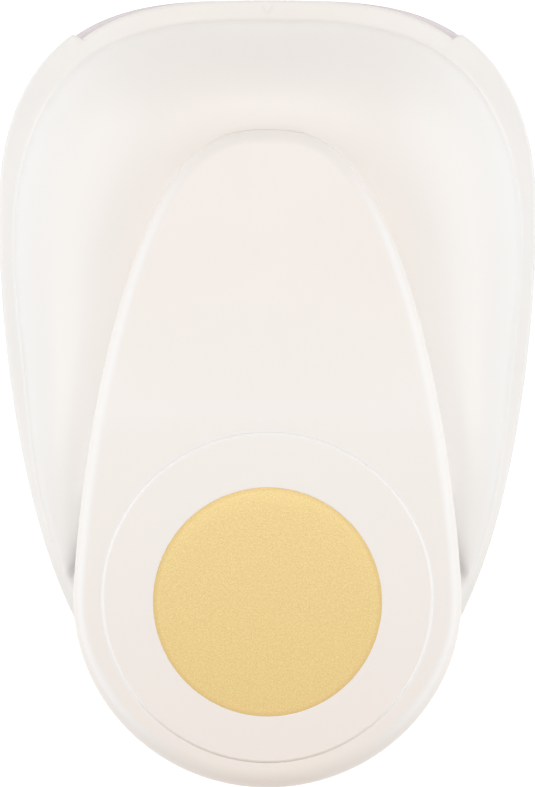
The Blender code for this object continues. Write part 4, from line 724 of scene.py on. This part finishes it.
def coverSkirt(y):
    # A slope that lies level on the case when pressed: height + distance to the pivot * tan(swing). It
    # is deeper beside the tail's hollow and lifted over the cutter and at the tip.
    c = coverSizes
    pressed = c["skirtZ"] + (c["pivotY"] - y) * math.tan(math.radians(c["swing"]))
    low = pressed + (np.maximum(pressed, c["skirtOver"]) - pressed) * smoothShare(y, *c["overSpan"])
    low = low - c["skirtDip"] * smoothShare(y, *c["dipFrom"]) * (1 - smoothShare(y, *c["dipTo"]))
    return low + (c["tipSkirt"] - low) * smoothShare(y, *c["tipSpan"])


def coverRoof(x, y):
    # the top less the wall, and under the pad a level ceiling at roofZ
    c = coverSizes
    sunk = 1 - smoothShare(y, c["levelY"], c["levelY"] + c["roofBlend"])
    return coverTop(x, y) - c["wall"] - (c["padZ"] - c["roofZ"] - c["wall"]) * sunk


def makeCover():
    # Rows run from the roof's centre down the inside, round the skirt's edge, up the wall, over the
    # rounded edge and along straight lines from the outline to the pad's seat, then down into it.
    c = coverSizes
    x, y, normal = evenOutline(leverOutline, c["columns"])

    def edge(inset):
        return x - inset * normal[:, 0], y - inset * normal[:, 1]

    def point(place, z):
        return np.stack(np.broadcast_arrays(*place, z), -1)

    tail = smoothShare(-y, -leverOutline["widest"], leverOutline["rearReach"] - leverOutline["widest"])
    rounding = c["round"] + (c["tailRound"] - c["round"]) * tail
    skirt, soft = coverSkirt(y), c["skirtRound"]
    innerX, innerY = edge(c["wall"])
    middleY = leverOutline["widest"] + (leverOutline["frontReach"] - leverOutline["rearReach"]) / 2
    rows = []
    for share in c["roofShares"]:
        px, py = innerX * share, middleY + (innerY - middleY) * share
        rows.append(point((px, py), coverRoof(px, py)))
    rows += [point(edge(c["wall"]), skirt + soft), point(edge(c["wall"] - soft), skirt),
             point(edge(soft), skirt), point(edge(0), skirt + soft)]
    # painted highlight along the shoulder, exp(-((turn - centre) / width)^2) in degrees, less at the tip and
    # the tail
    turns = np.linspace(0, 90, c["roundSteps"] + 1)
    paintedHighlight = np.exp(-((turns - c["rubTurn"]) / c["rubWidth"]) ** 2)[:, None]
    paintedHighlight = paintedHighlight * (1 - smoothShare(y, *c["rubTip"])) * (1 - smoothShare(-y, *c["rubTail"]))
    paintedHighlight = np.concatenate([np.zeros((len(rows), len(x))), paintedHighlight])
    for turn in np.radians(turns):
        place = edge(rounding * (1 - math.cos(turn)))
        rows.append(point(place, coverTop(*place) - rounding * (1 - math.sin(turn))))
    ringX, ringY = rows[-1][:, 0], rows[-1][:, 1]
    around = np.arctan2(ringY - c["seatCentre"], ringX)

    def seat(radius, z):
        return point((radius * np.cos(around), c["seatCentre"] + radius * np.sin(around)), z)

    seatTop, seatFoot = seat(c["seatRadius"], c["padZ"]), seat(c["seatRadius"], c["seatZ"])
    for t in np.linspace(0, 1, c["topSteps"] + 1)[1:-1]:
        px, py = ringX + (seatTop[:, 0] - ringX) * t, ringY + (seatTop[:, 1] - ringY) * t
        rows.append(point((px, py), coverTop(px, py)))
    rows += [*softCorner(rows[-1], seatTop, seatFoot, c["seatRound"], steps=2), seatFoot,
             seat(c["seatRadius"] / 2, c["seatZ"]), seat(c["hub"], c["seatZ"])]
    return buildPiece("leverCover", [skin(rows)], leverPlastic, "lever", rim=paintedHighlight)


leverCover = makeCover()
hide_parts("lever_shell")
print("lever cover made")

# Palm pad and its disc
padSizes = {
    "centre": -43.7, "radius": 34.12, "lowZ": 57.7, "topZ": 60.0, "underShare": 0.6, "soft": 0.1, "hub": 1.0,
    "bevel": 0.6, "bevelDepth": 0.29, "bevelFootRound": 0.05, "bevelFold": 0.2, "bevelTopRound": 0.12,
    "frontGroove": 0.26, "rearGroove": 0.48,
    "discCentre": -44.6, "seatRadius": 23.47, "seatZ": 58.9, "seatRound": 0.14,
    "columns": 288, "faceSteps": 9, "seatSteps": 5,
}
discSizes = {
    "centre": -44.6, "radius": 23.5, "lowZ": 59.2, "topZ": 60.0, "round": 0.12, "hub": 1.0,
    "columns": 240, "roundSteps": 6, "faceShares": (0.8, 0.5, 0.2, 0.03),
}


def makePad():
    # Circles from the underside's centre out over the bevelled rim and in to the disc's seat, whose
    # own centre lies a little behind; the flat between them is their straight blend. The bevel's foot
    # meets the cover at the sides and sinks by groove * sin^2 towards the front and the rear.
    c = padSizes
    sine = np.sin(np.linspace(0, 2 * math.pi, c["columns"], endpoint=False))
    groove = c["frontGroove"] * np.maximum(sine, 0) ** 2 + c["rearGroove"] * np.minimum(sine, 0) ** 2

    def ring(radius, z):
        return circleRow(0, c["centre"], radius, z, c["columns"])

    def seat(radius, z):
        return circleRow(0, c["discCentre"], radius, z, c["columns"])

    wall = ring(c["radius"], c["lowZ"] + c["soft"])
    bevelFoot = ring(c["radius"], c["topZ"] - c["bevelDepth"] - groove)
    bevelTop = ring(c["radius"] - c["bevel"], c["topZ"])
    inner = seat(c["seatRadius"] + c["seatRound"], c["topZ"])
    rows = [ring(c["hub"], c["lowZ"]), ring(c["radius"] * c["underShare"], c["lowZ"]),
            ring(c["radius"] - c["soft"], c["lowZ"]), wall,
            *softCorner(wall, bevelFoot, bevelTop, c["bevelFootRound"], steps=2),
            bevelFoot + (bevelTop - bevelFoot) * c["bevelFold"],
            *softCorner(bevelFoot, bevelTop, inner, c["bevelTopRound"], steps=5)]
    face = rows[-1]
    rows += [face + (inner - face) * t for t in np.linspace(0, 1, c["faceSteps"])[1:]]
    for turn in np.radians(np.linspace(90, 0, c["seatSteps"]))[1:]:
        rows.append(seat(c["seatRadius"] + c["seatRound"] * (1 - math.cos(turn)),
                         c["topZ"] - c["seatRound"] * (1 - math.sin(turn))))
    rows += [seat(c["seatRadius"], c["seatZ"]), seat(c["hub"], c["seatZ"])]
    return buildPiece("palmPad", [skin(rows)], leverPlastic, "lever")


def makeDisc():
    # Circles from the underside's centre over the rounded rim to the middle of the face
    c = discSizes

    def ring(radius, z):
        return circleRow(0, c["centre"], radius, z, c["columns"])

    rows = [ring(c["hub"], c["lowZ"]), ring(c["radius"], c["lowZ"])]
    for turn in np.radians(np.linspace(0, 90, c["roundSteps"])):
        rows.append(ring(c["radius"] - c["round"] * (1 - math.cos(turn)),
                         c["topZ"] - c["round"] * (1 - math.sin(turn))))
    rows += [ring(c["radius"] * share, c["topZ"]) for share in c["faceShares"]]
    return buildPiece("foilDisc", [skin(rows)], goldFoil, "lever")


palmPad = makePad()
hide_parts("pad_cap")
foilDisc = makeDisc()
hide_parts("gold_disc")
print("pad and disc made")

# Return springs, wound once at the height of the imported ones; the real ones shorten by travel as the punch
# comes down
springSizes = {"wire": 0.5, "coil": 3.6, "turns": 4.5, "closedTo": 0.6, "openFrom": 1.2, "endPitch": 1.04,
               "steps": 48, "columns": 10, "travel": 6.45}


def makeSpring(name):
    # A round wire carried along a helix of the same height as the solid. The rise at turn t is
    # endPitch*t plus a share of what is left over, given only to the open turns in the middle.
    c = springSizes
    low, high = (np.array(corner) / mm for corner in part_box(name))
    middle, height = (low + high) / 2, high[2] - low[2]
    turn = np.linspace(0, c["turns"], int(c["turns"] * c["steps"]) + 1)
    opened = smoothShare(turn, c["closedTo"], c["openFrom"])
    opened = np.cumsum(opened * opened[::-1])
    spare = height - 2 * c["wire"] - c["endPitch"] * c["turns"]
    angle = turn * 2 * math.pi
    outward = np.stack([np.cos(angle), np.sin(angle), angle * 0], -1)
    path = middle + outward * c["coil"]
    path[:, 2] = low[2] + c["wire"] + c["endPitch"] * turn + spare * opened / opened[-1]
    ahead = np.gradient(path, axis=0)
    ahead /= np.linalg.norm(ahead, axis=1, keepdims=True)
    across = np.cross(ahead, outward)
    around = np.linspace(0, 2 * math.pi, c["columns"], endpoint=False)[:, None]
    rows = path[:, None] + c["wire"] * (outward[:, None] * np.cos(around) + across[:, None] * np.sin(around))
    side = "".join(word.title() for word in name.split("_")[2:])
    spring = buildPiece("returnSpring" + side, [skin(rows)], metals["springSteel"], "frame")
    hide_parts(name)
    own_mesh(spring)


for name in nodes:
    if name.startswith("return_spring_"):
        makeSpring(name)
print("return springs wound")

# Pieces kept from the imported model. The first of these words that a name holds gives its finish; the
# rest is plate steel.
keptFinish = {
    "screw": metals["screwSteel"], "bolt": metals["screwSteel"], "clip": metals["springSteel"],
    "bush": metals["bushBronze"], "cutter": metals["toolSteel"], "pin": metals["toolSteel"],
    "deck": casePlastic,
}
for name, node in nodes.items():
    if node.hide_render:
        continue
    finish = next((finish for word, finish in keptFinish.items() if word in name), metals["plateSteel"])
    for holder in node.material_slots:
        holder.material = finish
print("kept pieces dressed:", sum(not node.hide_render for node in nodes.values()))

# Studio
studio = {
    "camera": (0.0, -1.8, 1100.0), "lens": 231.7, "clip": (0.02, 20),
    "floorRings": (2500.0, 900.0, 300.0, 2.0), "floorZ": -0.02, "floorColumns": 96,
    "floorGrey": (0.42, 0.42, 0.42), "floorBounce": (0.80, 0.80, 0.80),
    "nearGlow": (0.78, 0.78, 0.78), "farGlow": (1.0, 1.0, 1.0), "farSpan": (300.0, 1100.0),
    "skyGlow": 0.46, "aimZ": 30.0,
    # name: place, width, depth, watts, tint
    "lamps": {
        "frontBox": ((0, 540, 880), 900, 450, 2.6, (1.0, 0.95, 0.92)),
        "rearBox": ((0, -600, 860), 900, 400, 0.9, (1.0, 0.64, 0.44)),
        "leftBox": ((-780, -40, 260), 300, 1300, 2.1, (0.94, 0.985, 1.0)),
        "rightBox": ((780, -40, 260), 300, 1300, 2.1, (0.94, 0.985, 1.0)),
        "leftStrip": ((-680, -40, 540), 130, 1300, 1.2, (0.93, 0.98, 1.0)),
        "rightStrip": ((680, -40, 540), 130, 1300, 1.2, (0.93, 0.98, 1.0)),
    },
}


def makeFloor():
    # Rings round the object, radius * (cos, sin). The camera and mirrors see them nearly white with the
    # object's shadow; everything else gets their plain bounce.
    s = studio
    made = Finish("floorPaper")
    made.tree.nodes.remove(made.shader)
    distance = made.node("VectorMath", {"operation": "LENGTH"}, {0: made.place}, out="Value") / mm
    glow = made.mix(made.stretch(distance, *s["farSpan"]), s["nearGlow"], s["farGlow"])
    lit = made.node("Emission", None, {"Color": glow, "Strength": 1.0})
    paper = made.node("BsdfDiffuse", None, {"Color": s["floorGrey"]})
    shown = made.node("AddShader", None, {0: paper, 1: lit})
    plain = made.node("BsdfDiffuse", None, {"Color": s["floorBounce"]})
    made.show(made.node("MixShader", None, {0: made.seen(), 1: plain, 2: shown}), "Material Output")
    rows = [circleRow(0, 0, radius, s["floorZ"], s["floorColumns"]) for radius in s["floorRings"]]
    buildPiece("studioFloor", [skin(rows, ends=("last",))], made.material)


def makeLamps():
    # Soft boxes. Those in front and behind aim at (0, 0, aimZ); the side ones stand along the bench and
    # only lean inwards, by atan(|x| / height over aimZ).
    for name, (place, width, depth, watts, tint) in studio["lamps"].items():
        lamp = bpy.data.lights.new(name, "AREA")
        lamp.color = tint
        lamp.shape, lamp.size, lamp.size_y, lamp.energy = "RECTANGLE", width * mm, depth * mm, watts
        holder = bpy.data.objects.new(name, lamp)
        holder.location = Vector(place) * mm
        if place[0]:
            lean = math.atan2(abs(place[0]), place[2] - studio["aimZ"])
            holder.rotation_euler = Euler((0, math.copysign(lean, place[0]), 0))
        else:
            goal = Vector((0, 0, studio["aimZ"] * mm))
            holder.rotation_euler = (goal - holder.location).to_track_quat("-Z", "Y").to_euler()
        bpy.context.scene.collection.objects.link(holder)


def makeSky():
    # white where it is looked at or mirrored, a plain soft fill for everything else
    world = bpy.data.worlds.new("studioSky")
    bpy.context.scene.world = world
    world.use_nodes = True
    sky = Graph(world.node_tree)
    fill = sky.node("Background", None, {"Color": (1, 1, 1), "Strength": studio["skyGlow"]})
    white = sky.node("Background", None, {"Color": (1, 1, 1), "Strength": 1.0})
    sky.show(sky.node("MixShader", None, {0: sky.seen(), 1: fill, 2: white}), "World Output")


def makeCamera():
    # straight above the punch and looking down, with the case's front up in the picture
    camera = bpy.data.cameras.new("studioCamera")
    camera.lens = studio["lens"]
    camera.clip_start, camera.clip_end = studio["clip"]
    holder = bpy.data.objects.new("studioCamera", camera)
    holder.location = Vector(studio["camera"]) * mm
    bpy.context.scene.collection.objects.link(holder)
    bpy.context.scene.camera = holder


makeFloor()
makeLamps()
makeSky()
makeCamera()
bpy.context.scene.view_settings.view_transform = "Standard"
print("studio ready")
